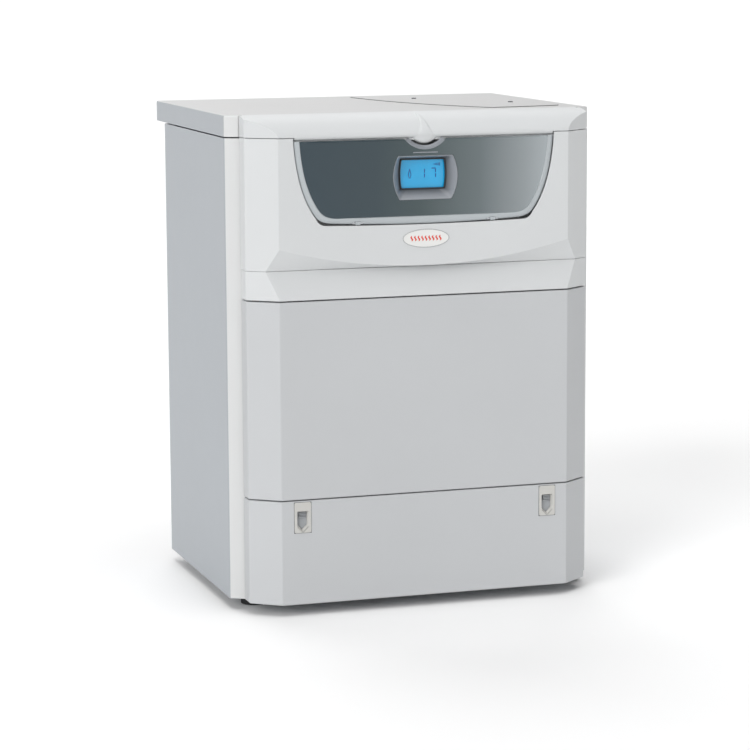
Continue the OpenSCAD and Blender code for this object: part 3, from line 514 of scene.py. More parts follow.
def brushed(name, colour, roughness, direction=(1, 1, 30), grain=0.00003):
    """Drawn or rolled metal, with fine lines along one direction."""
    n = Nodes(name)
    lines = n.noise(90.0, 4.0, 0.6, n.stretched(*direction))
    n.feed(n.ramp(lines, [(0.25, shade(colour, 0.88)), (0.75, shade(colour, 1.06))]), "Base Color")
    n.feed(n.spread(n.noise(12.0, 3.0), roughness - 0.06, roughness + 0.10), "Roughness")
    n.feed(n.bump(lines, grain, 0.6), "Normal")
    n.set(Metallic=1.0)
    return n.material


def galvanised(name, colour):
    """Zinc coat with its crystal spangle."""
    n = Nodes(name)
    crystals = n.cells(210.0, output="Color")
    tone = n.add("ShaderNodeRGBToBW")
    n.link(crystals, tone.inputs[0])
    n.feed(n.ramp(tone.outputs[0], [(0.2, shade(colour, 0.91)), (0.8, shade(colour, 1.04))]), "Base Color")
    n.feed(n.spread(tone.outputs[0], 0.34, 0.52), "Roughness")
    n.feed(n.bump(n.noise(260.0, 3.0), 0.00004, 0.5), "Normal")
    n.set(Metallic=0.9)
    return n.material


def cast(name, colour, metallic=1.0, roughness=0.5):
    """Sand or die casting: a grainy skin with pits and slight stains."""
    n = Nodes(name)
    stains = n.noise(22.0, 5.0, 0.6)
    n.feed(n.ramp(stains, [(0.3, shade(colour, 0.82)), (0.7, shade(colour, 1.05))]), "Base Color")
    n.feed(n.spread(stains, roughness - 0.08, roughness + 0.12), "Roughness")
    pits = n.bump(n.cells(420.0), 0.0001, 0.5)
    n.feed(n.bump(n.noise(700.0, 3.0), 0.0002, 0.6, pits), "Normal")
    n.set(Metallic=metallic)
    return n.material


def pipe_metal(name, colour, tarnish):
    """Copper or brass with a patchy tarnish and drawn lines."""
    n = Nodes(name)
    patches = n.noise(16.0, 6.0, 0.65)
    n.feed(n.ramp(patches, [(0.32, tarnish), (0.52, colour), (0.75, shade(colour, 1.1))]), "Base Color")
    n.feed(n.spread(patches, 0.42, 0.22), "Roughness")
    n.feed(n.bump(n.noise(300.0, 3.0), 0.00004, 0.5), "Normal")
    n.set(Metallic=1.0)
    return n.material


def flap_gloss(name):
    """Glossy metallic flap, dark slate, with a painted reflection: its colour pales to silver towards the
    right.
    """
    n = Nodes(name)
    split = n.add("ShaderNodeSeparateXYZ")
    n.link(n.place, split.inputs[0])
    across = n.add("ShaderNodeMapRange")
    across.inputs["From Min"].default_value = FLAP_LOW.x
    across.inputs["From Max"].default_value = FLAP_HIGH.x
    n.link(split.outputs["X"], across.inputs["Value"])
    # Colour stops from left to right: the paler right part is a painted reflection of the bright surroundings
    stops = [(0.0, rgb(40, 58, 67)), (0.30, rgb(46, 62, 69)), (0.48, rgb(61, 75, 77)),
             (0.72, rgb(97, 107, 110)), (0.90, rgb(138, 145, 148)), (1.0, rgb(160, 167, 170))]
    n.feed(n.ramp(across.outputs[0], stops), "Base Color")
    n.feed(n.spread(n.noise(60.0, 3.0), 0.20, 0.26), "Roughness")
    n.feed(n.bump(n.noise(1600.0, 1.0), 0.00002, 0.25), "Normal")
    n.set(Metallic=0.35, Coat_Weight=0.6, Coat_Roughness=0.06, IOR=1.45)
    return n.material


def window_shade(name, colour, shaded_back):
    """Smooth plastic of the window's surround, with painted shade that darkens it towards its back."""
    n = Nodes(name)
    split = n.add("ShaderNodeSeparateXYZ")
    n.link(n.place, split.inputs[0])
    depth = n.add("ShaderNodeMapRange")
    depth.inputs["From Min"].default_value = RIM_LOW.y
    depth.inputs["From Max"].default_value = BEZEL_HIGH.y
    n.link(split.outputs["Y"], depth.inputs["Value"])
    # Painted shade: the colour darkens from the window's face to its back
    n.feed(n.ramp(depth.outputs[0], [(0.0, colour), (0.35, shade(colour, 0.85)), (1.0, shaded_back)]), "Base Color")
    n.feed(n.spread(n.noise(60.0, 3.0), 0.30, 0.38), "Roughness")
    n.feed(n.bump(n.noise(1000.0, 2.0), 0.00001, 0.5), "Normal")
    n.set(Coat_Weight=0.2, Coat_Roughness=0.15, IOR=1.5)
    return n.material


def rubber(name, colour):
    n = Nodes(name)
    dust = n.noise(120.0, 5.0, 0.7)
    n.feed(n.ramp(dust, [(0.4, colour), (0.8, shade(colour, 1.9))]), "Base Color")
    n.feed(n.spread(dust, 0.7, 0.9), "Roughness")
    n.feed(n.bump(n.noise(900.0, 2.0), 0.0001, 0.6), "Normal")
    n.set(IOR=1.5)
    return n.material


def display(name, colour):
    """Lit liquid crystal display with a faint dot grid."""
    n = Nodes(name)
    glow = n.noise(28.0, 2.0)
    tone = n.ramp(glow, [(0.3, shade(colour, 0.93)), (0.7, shade(colour, 1.05))])
    n.feed(tone, "Base Color")
    n.feed(tone, "Emission Color")
    n.feed(n.bump(n.cells(1400.0), 0.00002, 0.3), "Normal")
    n.feed(n.spread(glow, 0.20, 0.28), "Roughness")
    n.set(Emission_Strength=0.22, Coat_Weight=0.5, Coat_Roughness=0.05)
    return n.material


def circuit_board(name, colour):
    """Solder mask with lighter copper tracks under it."""
    n = Nodes(name)
    tracks = n.add("ShaderNodeTexBrick")
    tracks.inputs["Scale"].default_value = 60.0
    tracks.inputs["Mortar Size"].default_value = 0.06
    tracks.inputs["Color1"].default_value = colour
    tracks.inputs["Color2"].default_value = shade(colour, 0.8)
    tracks.inputs["Mortar"].default_value = shade(colour, 2.2)
    turned_place = n.add("ShaderNodeMapping")
    turned_place.inputs["Rotation"].default_value = (math.pi / 2, 0, 0)
    n.link(n.place, turned_place.inputs["Vector"])
    n.link(turned_place.outputs[0], tracks.inputs["Vector"])
    n.feed(tracks.outputs["Color"], "Base Color")
    n.feed(n.spread(n.noise(40.0), 0.3, 0.45), "Roughness")
    n.feed(n.bump(tracks.outputs["Fac"], 0.00005, 0.5), "Normal")
    return n.material


def clear(name):
    """Clear plastic window with a trace of haze."""
    n = Nodes(name)
    n.feed(n.ramp(n.noise(30.0), [(0.3, rgb(240, 246, 248)), (0.7, rgb(250, 252, 253))]), "Base Color")
    n.feed(n.spread(n.noise(50.0), 0.02, 0.07), "Roughness")
    n.set(Transmission_Weight=1.0, IOR=1.45)
    return n.material


def mineral(name, colour, fibre):
    """Ceramic or fibre board: matt, with a soft grain."""
    n = Nodes(name)
    grain = n.noise(fibre, 6.0, 0.7)
    n.feed(n.ramp(grain, [(0.3, shade(colour, 0.9)), (0.7, shade(colour, 1.04))]), "Base Color")
    n.feed(n.spread(grain, 0.55, 0.75), "Roughness")
    n.feed(n.bump(grain, 0.0002, 0.5), "Normal")
    return n.material


# Each finish: its name, the function that makes it, and its colours and amounts in that function's order
FINISHES = (
    ("side_paint", coated, (160, 165, 170), 0.42, 0.008),
    # Lighter tone of the side panels' corner strips, also used as painted light on the lid's front faces
    ("corner_paint", coated, (206, 207, 207), 0.42, 0.008),
    ("front_paint", coated, (187, 189, 191), 0.44, 0.012),
    ("lid_paint", coated, (185, 185, 185), 0.44, 0.01),
    ("shell_plastic", coated, (203, 205, 206), 0.36, 0.015, 900, 0.00003),
    ("latch_plastic", coated, (193, 192, 188), 0.40, 0.015, 900, 0.00003),
    ("badge_plastic", coated, (222, 222, 220), 0.30, 0.01, 900, 0.00002, 0.0, 0.3),
    ("black_plastic", coated, (38, 40, 44), 0.38, 0.06, 1200, 0.00005),
    ("dark_plastic", coated, (62, 66, 71), 0.40, 0.05, 1200, 0.00005),
    ("grey_plastic", coated, (158, 161, 164), 0.42, 0.02, 1000, 0.00004),
    ("visor_plastic", coated, (203, 205, 206), 0.50, 0.008, 900, 0.00002, 0.0, 0.0, 0.2),
    # The window's plastic darkens towards the back of the window as painted shade
    ("window_plastic", window_shade, (136, 140, 146), (62, 68, 74)),
    ("red_plastic", coated, (214, 74, 56), 0.34, 0.04, 1000, 0.00003),
    ("silver_trim", coated, (176, 182, 185), 0.34, 0.01, 900, 0.000004, 0.25, 0.2),
    ("red_paint", coated, (178, 34, 30), 0.35, 0.05),
    ("yellow_lever", coated, (222, 178, 34), 0.38, 0.05),
    ("white_flue", coated, (206, 208, 209), 0.38, 0.02),
    ("cast_iron_paint", coated, (52, 60, 66), 0.50, 0.10, 260, 0.0003),
    ("galvanised", galvanised, (186, 190, 194)),
    ("stainless", brushed, (200, 202, 206), 0.30),
    ("dark_screw", brushed, (92, 94, 98), 0.36),
    ("cast_alloy", cast, (186, 188, 191)),
    ("ceramic", mineral, (234, 229, 215), 220.0),
    ("foot_rubber", rubber, (40, 40, 42)),
    ("brass_pipe", pipe_metal, (212, 176, 92), (150, 116, 62)),
    ("copper_pipe", pipe_metal, (214, 138, 100), (150, 84, 58)),
    # Its colour pales towards the right as painted reflection
    ("flap_gloss", flap_gloss),
    ("display_blue", display, (26, 154, 206)),
    ("circuit_green", circuit_board, (30, 92, 56)),
    ("clear_glass", clear),
    ("display_ink", coated, (16, 84, 150), 0.4, 0.05),
)
MATERIALS = {name: make(name, *(rgb(*v) if isinstance(v, tuple) else v for v in values))
             for name, make, *values in FINISHES}


# ---- Casing ----

def folded_sheet(outline, z0, z1, t, radius):
    """An upright folded sheet: its outer line in plan, its thickness to the left of it."""
    outer = rounded(outline, radius)
    inner = []
    for i, point in enumerate(outer):
        a = Vector(outer[max(i - 1, 0)])
        b = Vector(outer[min(i + 1, len(outer) - 1)])
        along = (b - a).normalized()
        inner.append(tuple(Vector(point) + Vector((-along.y, along.x)) * t))
    return upright(outer + inner[::-1], z0, z1)


def side_panel(name, side, node):
    tip = (side_x - strip_w, corner_y - strip_d)
    line = [(side_x - 0.014, panel_rear_y), (side_x, panel_rear_y), (side_x, corner_y), tip,
            (tip[0], tip[1] + 0.009)]
    verts, faces = folded_sheet(line, SIDE_LOW.z, SIDE_HIGH.z - 0.0010, -sheet, 0.0022)
    verts = [(side * x, y, z) for x, y, z in verts]
    made = piece(name, verts, faces, "casing", "side_paint")
    made.data.materials.append(MATERIALS["corner_paint"])
    # Faces of the front corner strip take the lighter corner tone
    for polygon in made.data.polygons:
        if polygon.center.y < corner_y - 0.0015:
            polygon.material_index = 1
    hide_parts(node)
    return soften(made, 0.0004, 2, 50)


def front_panel(name, z0, z1, body, slot, radius=bend):
    """A sheet front with facets at the corners and folded edges at the top and bottom."""
    r = 0.0020
    inner = r - sheet

    def fold(x, z, radius, start):
        return [(x - radius * math.cos(math.radians(a)), z + radius * math.sin(math.radians(a)))
                for a in (start, start + 22.5, start + 45, start + 67.5, start + 90)]
    section = [(flange, z0)] + fold(r, z0 + r, r, -90) + fold(r, z1 - r, r, 0) + [(flange, z1)]
    section += [(flange, z1 - sheet)] + fold(r, z1 - r, inner, 0)[::-1] + fold(r, z0 + r, inner, -90)[::-1]
    section += [(flange, z0 + sheet)]
    rings = []
    for inset, z in section:
        rings.append([(x, y, z) for x, y in front_path(inset, return_y, radius)])
    return piece(name, *loft(rings, closed_rings=False, closed_loft=True), body, slot, 50)


def front_panels():
    seam = 0.0004
    mid = front_panel("mid_shell", MID_LOW.z - seam, MID_HIGH.z + seam, "mid_panel", "front_paint")
    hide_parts("mid_panel")
    soften(mid, 0.0002, 1, 50)
    lower = front_panel("lower_shell", LOWER_LOW.z, LOWER_HIGH.z + seam, "lower_panel", "front_paint")
    for s in (-1, 1):
        x = s * latch_x
        carve(lower, box_part(x - 0.0115, x + 0.0115, front_y - 0.002, front_y + 0.003,
                              latch_z - 0.022, latch_z + 0.022))
    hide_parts("lower_panel")
    soften(lower, 0.0002, 1, 50)


def lid():
    """Pressed lid with a rolled top edge, open underneath."""
    r = 0.0035

    def outline(inset):
        right = [(side_x - inset, CAD_HIGH.y - inset), (side_x - inset, corner_y + 0.4 * inset),
                 (side_x - 0.023, corner_y - 0.014 + inset), (side_x - 0.023, lid_front_y + inset)]
        return rounded(mirrored(right), max(0.0028 - inset, 0.0004), 3, closed=True)
    levels = [(0, band_z), (0, top_z - r)]
    for a in (22.5, 45, 67.5, 90):
        levels.append((r * (1 - math.cos(math.radians(a))) * 0.55, top_z - r + r * math.sin(math.radians(a))))
    outer = [[(x, y, z) for x, y in outline(inset)] for inset, z in levels]
    hollow = [[(x, y, z) for x, y in outline(sheet)] for z in (top_z - sheet, band_z)]
    verts, faces = loft(outer + hollow, closed_loft=True)
    n = len(outer[0])
    top = [f for f in faces if set(f) <= set(range(5 * n, 7 * n))]
    faces = [f for f in faces if f not in top]
    faces.append(list(range(5 * n, 6 * n)))
    faces.append(list(range(6 * n, 7 * n)))
    made = piece("lid_shell", verts, faces, "casing", "lid_paint", 40)
    made.data.materials.append(MATERIALS["side_paint"])
    made.data.materials.append(MATERIALS["corner_paint"])
    # The lid is one painted sheet: its side faces take the darker side paint as painted shade, and its front
    # faces the lighter corner tone as painted light
    for polygon in made.data.polygons:
        if abs(polygon.normal.x) > 0.9:
            polygon.material_index = 1
        elif polygon.normal.y < -0.5:
            polygon.material_index = 2
    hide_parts("lid")
    return soften(made, 0.0003, 1, 50)


VISOR_D = lid_front_y - front_y
VISOR_H = top_z - visor_z


def visor_height(y):
    """Level of the visor's curved top over a depth."""
    share = min(max((lid_front_y - y) / VISOR_D, 0), 1)
    return visor_z + VISOR_H * math.sqrt(1 - share * share)


def visor_half_width(y):
    if y < facet_y:
        return front_half + (facet_x - front_half) * (y - front_y) / facet_d
    return facet_x if y < return_y + 1e-6 else side_x - 0.0252


def visor():
    """Rolled front edge of the top, cut by the facets at its ends."""
    depths = [lid_front_y - VISOR_D * math.cos(math.radians(3 * i)) for i in range(30)]
    depths += [facet_y, return_y, return_y + 2e-5, lid_front_y - 0.0006]
    depths = sorted(d for d in depths if d <= lid_front_y - 0.0005)
    columns = 40
    rings = []
    for y in depths:
        half = visor_half_width(y)
        z = visor_height(y)
        top = [(half * (2 * i / columns - 1), y, z) for i in range(columns + 1)]
        low = [(half * (1 - 2 * i / columns), y, visor_z - 0.00001) for i in range(columns + 1)]
        rings.append(top + low)
    made = piece("visor_shell", *loft(rings), "casing", "shell_plastic", 24, "visor_plastic")
    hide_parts("top_visor")
    soften(made, 0.0012, 3, 24)
    return made


def visor_lip():
    """Under edge of the visor over the flap, which curls back into the shade."""
    depth = 0.0100
    drop = 0.0056
    tuck = 0.0004
    half = 0.2100
    line = []
    for degrees in range(0, 91, 10):
        a = math.radians(degrees)
        line.append((front_y + tuck + depth * (1 - math.cos(a)), visor_z + tuck - drop * math.sin(a)))
    line.append((line[-1][0], visor_z + tuck))
    return piece("visor_lip", *loft([[(x, y, z) for y, z in line] for x in (-half, half)]),
                 "casing", "shell_plastic", 40, "visor_plastic")


def ridge():
    """Raised tongue on the visor that widens forwards and ends in a half-round nose."""
    rows = 26
    columns = 16
    rings = []
    for i in range(rows + 1):
        u = i / rows
        y = lid_front_y - 0.022 - (VISOR_D - 0.022) * math.sin(u * math.pi / 2)
        half = 0.0030 + 0.0100 * u ** 2.2
        rise = (0.0022 - 0.0010 * u) * min(1, 8 * u)
        ring = []
        for k in range(columns + 1):
            v = 2 * k / columns - 1
            lift = rise * (1 - abs(v) ** 4)
            ring.append((half * v, max(y - lift * u, VISOR_LOW.y - 0.0008), visor_height(y) + lift - 0.0002))
        ring += [(half, y, visor_height(y) - 0.002), (-half, y, visor_height(y) - 0.002)]
        rings.append(ring)
    made = piece("visor_ridge", *loft(rings), "casing", "shell_plastic", 60, "visor_plastic")
    nose = []
    face_y = front_y + 0.0002
    for inset, back in ((0, 0.0110), (0.0003, 0.0070), (0.0012, 0.0045), (0.0028, 0.0026),
                        (0.0052, 0.0012), (0.0090, 0.0003), (0.0130, 0)):
        radius = nose_r - inset
        y = face_y + back
        drop = math.asin((nose_z - visor_z - 0.0008) / radius)
        start = 180 - math.degrees(drop)
        points = arc((0, nose_z), radius, start, 360 + math.degrees(drop), 40)
        nose.append([(x, y, min(z, visor_z + 0.001)) for x, z in points])
    nose_verts, nose_faces = loft(nose)
    tip = piece("visor_nose", nose_verts, nose_faces, "casing", "shell_plastic", 40, "visor_plastic")
    return made, tip


def closing_plate():
    """Loose plate that closes the opening on top, with a softened edge."""
    front = curve((0.028, corner_y + 0.395), (0.046, corner_y + 0.190), (0.140, corner_y + 0.034), 20)
    right = curve((0.146, corner_y + 0.026), (0.205, corner_y + 0.030), (0.266, corner_y + 0.044), 10)
    outline = front + right + [(0.272, corner_y + 0.056), (0.252, corner_y + 0.395)]
    verts, faces = upright(outline, top_z + 0.0004, PLATE_HIGH.z + 0.0003)
    made = piece("closing_plate", verts, faces, "casing", "lid_paint", 30)
    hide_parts("service_plate")
    soften(made, 0.0003, 2, 40)
    # A thin black ring under the plate's edge stands for the shadow line of the gap beneath it
    middle = Vector((0.150, corner_y + 0.210))
    grown = [tuple(Vector(p) + (Vector(p) - middle).normalized() * 0.0011) for p in outline]
    piece("plate_shadow_ring", *upright(grown, top_z + 0.00002, top_z + 0.0004), "casing", "black_plastic", 30)


# ---- Fascia and grip rail ----

def facet_limit(depth):
    """Half width of the front at a depth behind the front face, along the facet."""
    return front_half + (facet_x - front_half) * depth / facet_d


def fascia():
    """Upper front: a flap opening, a smile-shaped crease and a slope down into the finger groove."""
    low_z = FASCIA_LOW.z
    high_z = FASCIA_HIGH.z
    opening = [(x, z) for x, z in opening_half() if x > 1e-6]
    columns = [(0.0, opening_half()[-1][1])] + opening[::-1]
    slope_rows = 4
    parts = []
    quad = face_adder(parts)

    def slope(x, row):
        """A point on the slope below the crease, from the groove at row 0 to the crease at the last row."""
        crease = crease_z(x)
        z = low_z + (crease - low_z) * row / slope_rows
        return x, front_y + groove_d * (crease - z) / (crease - groove_z), z

    def on_facet(x, y, z):
        """The same point carried out sideways to where the slope meets the facet."""
        return math.copysign(facet_limit(y - front_y), x), y, z

    for s in (-1, 1):
        edge_x = s * front_half
        last_x, last_z = columns[-1]
        for (xa, za), (xb, zb) in zip(columns, columns[1:] + [(front_half, last_z)]):
            for row in range(slope_rows):
                quad(slope(s * xa, row), slope(s * xb, row), slope(s * xb, row + 1), slope(s * xa, row + 1))
            quad((s * xa, front_y, crease_z(xa)), (s * xb, front_y, crease_z(xb)), (s * xb, front_y, zb),
                 (s * xa, front_y, za))
        quad((s * last_x, front_y, last_z), (edge_x, front_y, last_z), (edge_x, front_y, high_z),
             (s * last_x, front_y, high_z))
        ends = [on_facet(*slope(edge_x, row)) for row in range(slope_rows + 1)]
        for row in range(slope_rows):
            quad(slope(edge_x, row), ends[row], ends[row + 1], slope(edge_x, row + 1))
        ends += [(edge_x, front_y, last_z), (edge_x, front_y, high_z)]
        for a, b in zip(ends, ends[1:]):
            quad(a, (s * facet_x, facet_y, a[2]), (s * facet_x, facet_y, b[2]), b)
            quad((s * facet_x, facet_y, a[2]), (s * facet_x, return_y, a[2]), (s * facet_x, return_y, b[2]),
                 (s * facet_x, facet_y, b[2]))
    made = piece("fascia_shell", *joined(parts), "casing", "shell_plastic", 15)
    orient(made, Vector((0, -1, 0.05)))
    wall = made.modifiers.new("wall", "SOLIDIFY")
    wall.thickness = 0.003
    wall.offset = -1
    wall.use_even_offset = True
    soften(made, 0.0008, 2, 16)
    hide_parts("fascia")
    bridge = box_part(-0.2125, 0.2125, -0.2530, -0.2500, TRAY_HIGH.z + 0.0002, high_z)
    soften(piece("fascia_bridge", *bridge, "casing", "shell_plastic"), 0.0005, 2)


def orient(made, outwards):
    """Turns an open shell's faces so that they look outwards."""
    work = bmesh.new()
    work.from_mesh(made.data)
    bmesh.ops.recalc_face_normals(work, faces=work.faces)
    total = sum((f.normal * f.calc_area() for f in work.faces), Vector())
    if total.dot(outwards) < 0:
        bmesh.ops.reverse_faces(work, faces=work.faces)
    work.to_mesh(made.data)
    work.free()


def grip_rail():
    """Rail under the groove: its face leans back so that fingers can hook behind it."""
    low_z = GRIP_LOW.z
    lip_z = low_z + 0.0018
    rows = 4
    parts = []
    quad = face_adder(parts)

    levels = [lip_z + (groove_z - lip_z) * i / rows for i in range(rows + 1)]
    edge = []
    for z in levels:
        depth = groove_d * (z - lip_z) / (groove_z - lip_z)
        edge.append((facet_limit(depth), front_y + depth, z))
    back = front_y + groove_d + 0.003
    back_half = front_corners(groove_d + 0.003, return_y)
    for a, b in zip(edge, edge[1:]):
        quad((-a[0], a[1], a[2]), a, b, (-b[0], b[1], b[2]))
    quad((-front_half, front_y, low_z), (front_half, front_y, low_z), edge[0], (-front_half, front_y, lip_z))
    for s in (-1, 1):
        outline = [(s * x, y, z) for x, y, z in edge]
        quad(*(outline + [(s * facet_x, facet_y, groove_z), (s * facet_x, facet_y, low_z),
                          (s * front_half, front_y, low_z)]))
        quad((s * facet_x, facet_y, low_z), (s * facet_x, facet_y, groove_z),
             (s * facet_x, return_y, groove_z), (s * facet_x, return_y, low_z))
    outer_top = [(-facet_x, return_y), (-facet_x, facet_y), (-edge[-1][0], edge[-1][1]),
                 (edge[-1][0], edge[-1][1]), (facet_x, facet_y), (facet_x, return_y)]
    outer_low = [(x, y) for x, y in front_corners(0, return_y)]
    for outer, z in ((outer_top, groove_z), (outer_low, low_z)):
        quad(*[(x, y, z) for x, y in outer + back_half[::-1]])
    for a, b in zip(back_half, back_half[1:]):
        quad((a[0], a[1], low_z), (b[0], b[1], low_z), (b[0], b[1], groove_z), (a[0], a[1], groove_z))
    for s in (-1, 1):
        quad((s * facet_x, return_y, low_z), (s * back_half[-1][0], return_y, low_z),
             (s * back_half[-1][0], return_y, groove_z), (s * facet_x, return_y, groove_z))
    made = piece("grip_rail_shell", *joined(parts), "casing", "shell_plastic", 14)
    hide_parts("grip_rail")
    return soften(made, 0.0010, 3, 14)


def badge():
    """Plain domed oval with a thin raised edge and nine generic heat waves."""
    centre = (0.0, (BADGE_LOW.z + BADGE_HIGH.z) / 2)
    half_w = BADGE_HIGH.x
    half_h = (BADGE_HIGH.z - BADGE_LOW.z) / 2
    face_y = BADGE_LOW.y

    def ring(inset, y):
        return [(centre[0] + (half_w - inset) * math.cos(2 * math.pi * i / 96), y,
                 centre[1] + (half_h - inset) * math.sin(2 * math.pi * i / 96)) for i in range(96)]
    profile = [(0, BADGE_HIGH.y), (0, face_y + 0.0004), (0.0003, face_y + 0.0001), (0.0009, face_y + 0.00005),
               (0.0013, face_y + 0.0004), (0.0016, face_y + 0.00045), (0.006, face_y + 0.00025),
               (0.011, face_y + 0.0002)]
    verts, faces = loft([ring(inset, y) for inset, y in profile])
    made = piece("badge_plate", verts, faces, "casing", "badge_plastic", 40)
    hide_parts("badge")
    edge = [(0.0000, face_y + 0.0006), (0.0001, face_y + 0.00005), (0.0006, face_y),
            (0.0011, face_y + 0.0001),
            (0.0013, face_y + 0.0006)]
    verts, faces = loft([ring(inset, y) for inset, y in edge], closed_loft=True)
    piece("badge_edge", verts, faces, "casing", "grey_plastic", 60)
    parts = []
    waves = 9
    length = 0.0082
    for i in range(waves):
        x0 = (i - (waves - 1) / 2) * 0.0058
        rings = []
        for k in range(17):
            u = k / 16
            x = x0 + 0.0010 * math.sin(2 * math.pi * u)
            z = centre[1] - length / 2 + length * u
            half = 0.0017 * math.sin(math.pi * min(max(u, 0.06), 0.94)) ** 0.5
            rings.append([(x - half, face_y + 0.0005, z), (x + half, face_y + 0.0005, z),
                          (x + half * 0.8, face_y + 0.00005, z), (x - half * 0.8, face_y + 0.00005, z)])
        parts.append(loft(rings))
    piece("badge_waves", *joined(parts), "casing", "red_plastic", 40)


# ---- Latches ----

def slot_outline(grow):
    """Latch slot with a pointed foot, moved outwards by grow."""
    w = 0.009 + grow
    return [(-w, 0.0100 + grow), (-w, -0.0125 - 0.4 * grow), (0, -0.0212 - 1.2 * grow),
            (w, -0.0125 - 0.4 * grow),
            (w, 0.0100 + grow)]


def latches():
    """Latch frames with a pointed slot, the dark rings round them as painted shadow lines, and the two
    sliders.
    """
    parts = []
    half_w = 0.0135
    half_h = 0.024
    for s in (-1, 1):
        def at(points, y):
            return [(s * latch_x + x, y, latch_z + z) for x, z in points]
        slot_front = rounded(slot_outline(0.0), 0.0008, 3, closed=True)
        slot_back = rounded(slot_outline(-0.0016), 0.0008, 3, closed=True)
        frame_rect = rounded([(-half_w, half_h), (-half_w, -half_h), (half_w, -half_h), (half_w, half_h)],
                             0.0015, 3, closed=True)
        inner_rect = [(-half_w + 0.002, half_h - 0.002), (-half_w + 0.002, -half_h + 0.002),
                      (half_w - 0.002, -half_h + 0.002), (half_w - 0.002, half_h - 0.002)]
        steps = 72
        outer = by_angle(frame_rect, (0, 0), steps)
        pocket = by_angle(rounded(inner_rect, 0.001, 3, closed=True), (0, 0), steps)
        front = by_angle(slot_front, (0, 0), steps)
        back = by_angle(slot_back, (0, 0), steps)
        face = LATCH_LOW.y
        small = [(x * 0.985, z * 0.985) for x, z in outer]
        wide = [(x * 1.05, z * 1.03) for x, z in front]
        rings = [at(pocket, front_y + 0.005), at(pocket, front_y + 0.0002), at(outer, front_y + 0.0001),
                 at(outer, face + 0.0004), at(small, face), at(wide, face), at(front, face + 0.0005),
                 at(back, front_y + 0.0048), at(back, front_y + 0.005)]
        parts.append(loft(rings, closed_loft=True))
    made = piece("latch_bezels", *joined(parts), "lower_panel", "latch_plastic", 30)
    groove = 0.0018
    for s in (-1, 1):
        for side in (-1, 1):
            a = Vector((side * 0.0088, -0.0136))
            b = Vector((0, -0.0222))
            down = Vector((0, -0.0016))
            outline = [a, b, b + down, a + down]
            outline = [(s * latch_x + p.x, latch_z + p.y) for p in outline]
            carve(made, facing(outline, LATCH_LOW.y - 0.001, LATCH_LOW.y + groove))
    smooth(made.data, 30)
    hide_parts("latch_frames")
    # Dark rings round the frames stand for the shadow lines round the slightly raised frames
    painted_shadow_rings = []
    for s in (-1, 1):
        rings = []
        for grow, y in ((-0.0010, front_y + 0.0008), (-0.0010, front_y - 0.0001), (0.0006, front_y - 0.0001),
                        (0.0006, front_y + 0.0008)):
            w, h = half_w + grow, half_h + grow
            rings.append([(s * latch_x + a * w, y, latch_z + b * h)
                          for a, b in ((-1, -1), (1, -1), (1, 1), (-1, 1))])
        painted_shadow_rings.append(loft(rings, closed_loft=True))
    piece("latch_painted_shadow", *joined(painted_shadow_rings), "lower_panel", "latch_plastic", 40, "dark_plastic")
    for name, s in (("latch_left", -1), ("latch_right", 1)):
        slider(name, s * latch_x)


def slider(node, x):
    """Sliding finger plate behind the slot, with grip ribs and a hook at the top."""
    low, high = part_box(node)
    plate_y = front_y + 0.0053
    parts = [box_part(low.x, high.x, plate_y, plate_y + 0.003, low.z, high.z)]
    for i in range(4):
        z = latch_z - 0.0010 + 0.0024 * i
        parts.append(box_part(x - 0.006, x + 0.006, low.y, plate_y + 0.001, z, z + 0.0014))
    parts.append(box_part(x - 0.006, x + 0.006, plate_y + 0.002, high.y, latch_z + 0.016, latch_z + 0.020))
    made = piece(node + "_slider", *joined(parts), node, "latch_plastic", 40, "grey_plastic")
    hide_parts(node)
    soften(made, 0.0004, 2, 40)


# ---- Flap ----

flap_face_y = RIM_LOW.y


def flap_panel():
    """Dark panel with a rolled top edge, a scoop for the fingertip and a hole for the display's window."""
    scoop = math.sqrt(scoop_r ** 2 - (scoop_z - flap_top_z) ** 2)
    angle = math.degrees(math.atan2(scoop_z - flap_top_z, scoop))
    right = [(scoop + 0.0005, flap_top_z)] + panel_half()
    outline = right + [(-x, z) for x, z in reversed(right)]
    outline += arc((0, scoop_z), scoop_r, 180 + angle, 360 - angle, 32)[1:-1]
    hole = mirrored(window_half(0.0016))
    verts, faces = plate_with_holes(outline, [hole], flap_face_y, FLAP_HIGH.y)
    made = piece("flap_panel", verts, faces, "flap", "flap_gloss", 30)
    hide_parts("flap")
    mesh = made.data
    weights = mesh.attributes.new("bevel_weight_edge", "FLOAT", "EDGE")
    for edge in mesh.edges:
        ends = [mesh.vertices[i].co for i in edge.vertices]
        if all(v.z > flap_top_z - 1e-5 and v.y < flap_face_y + 1e-5 for v in ends):
            weights.data[edge.index].value = 1.0
    roll = made.modifiers.new("roll", "BEVEL")
    roll.limit_method = "WEIGHT"
    roll.width = 0.0026
    roll.segments = 6
    soften(made, 0.0003, 2, 40)
    lip = []
    for radius, y in ((scoop_r - 0.0001, flap_face_y - 0.0001), (scoop_r - 0.0008, flap_face_y - 0.0003),
                      (scoop_r - 0.0016, flap_face_y - 0.0001), (scoop_r - 0.0058, flap_face_y + 0.0020),
                      (scoop_r - 0.0064, flap_face_y + 0.0026), (scoop_r - 0.0064, FLAP_HIGH.y),
                      (scoop_r - 0.0001, FLAP_HIGH.y)):
        lip.append([(x, y, z) for x, z in arc((0, scoop_z), radius, 180 + angle + 5, 360 - angle - 5, 40)])
    lip = [list(ring) for ring in zip(*lip)]
    piece("flap_scoop_lip", *loft(lip), "flap", "silver_trim", 40, "window_plastic")
    ledge = box_part(-0.020, 0.020, flap_face_y - 0.0003, flap_face_y + 0.0005, scoop_z - 0.0482,
                     scoop_z - 0.0466)
    soften(piece("flap_ledge", *ledge, "flap", "silver_trim", 40, "window_plastic"), 0.0003, 2, 40)


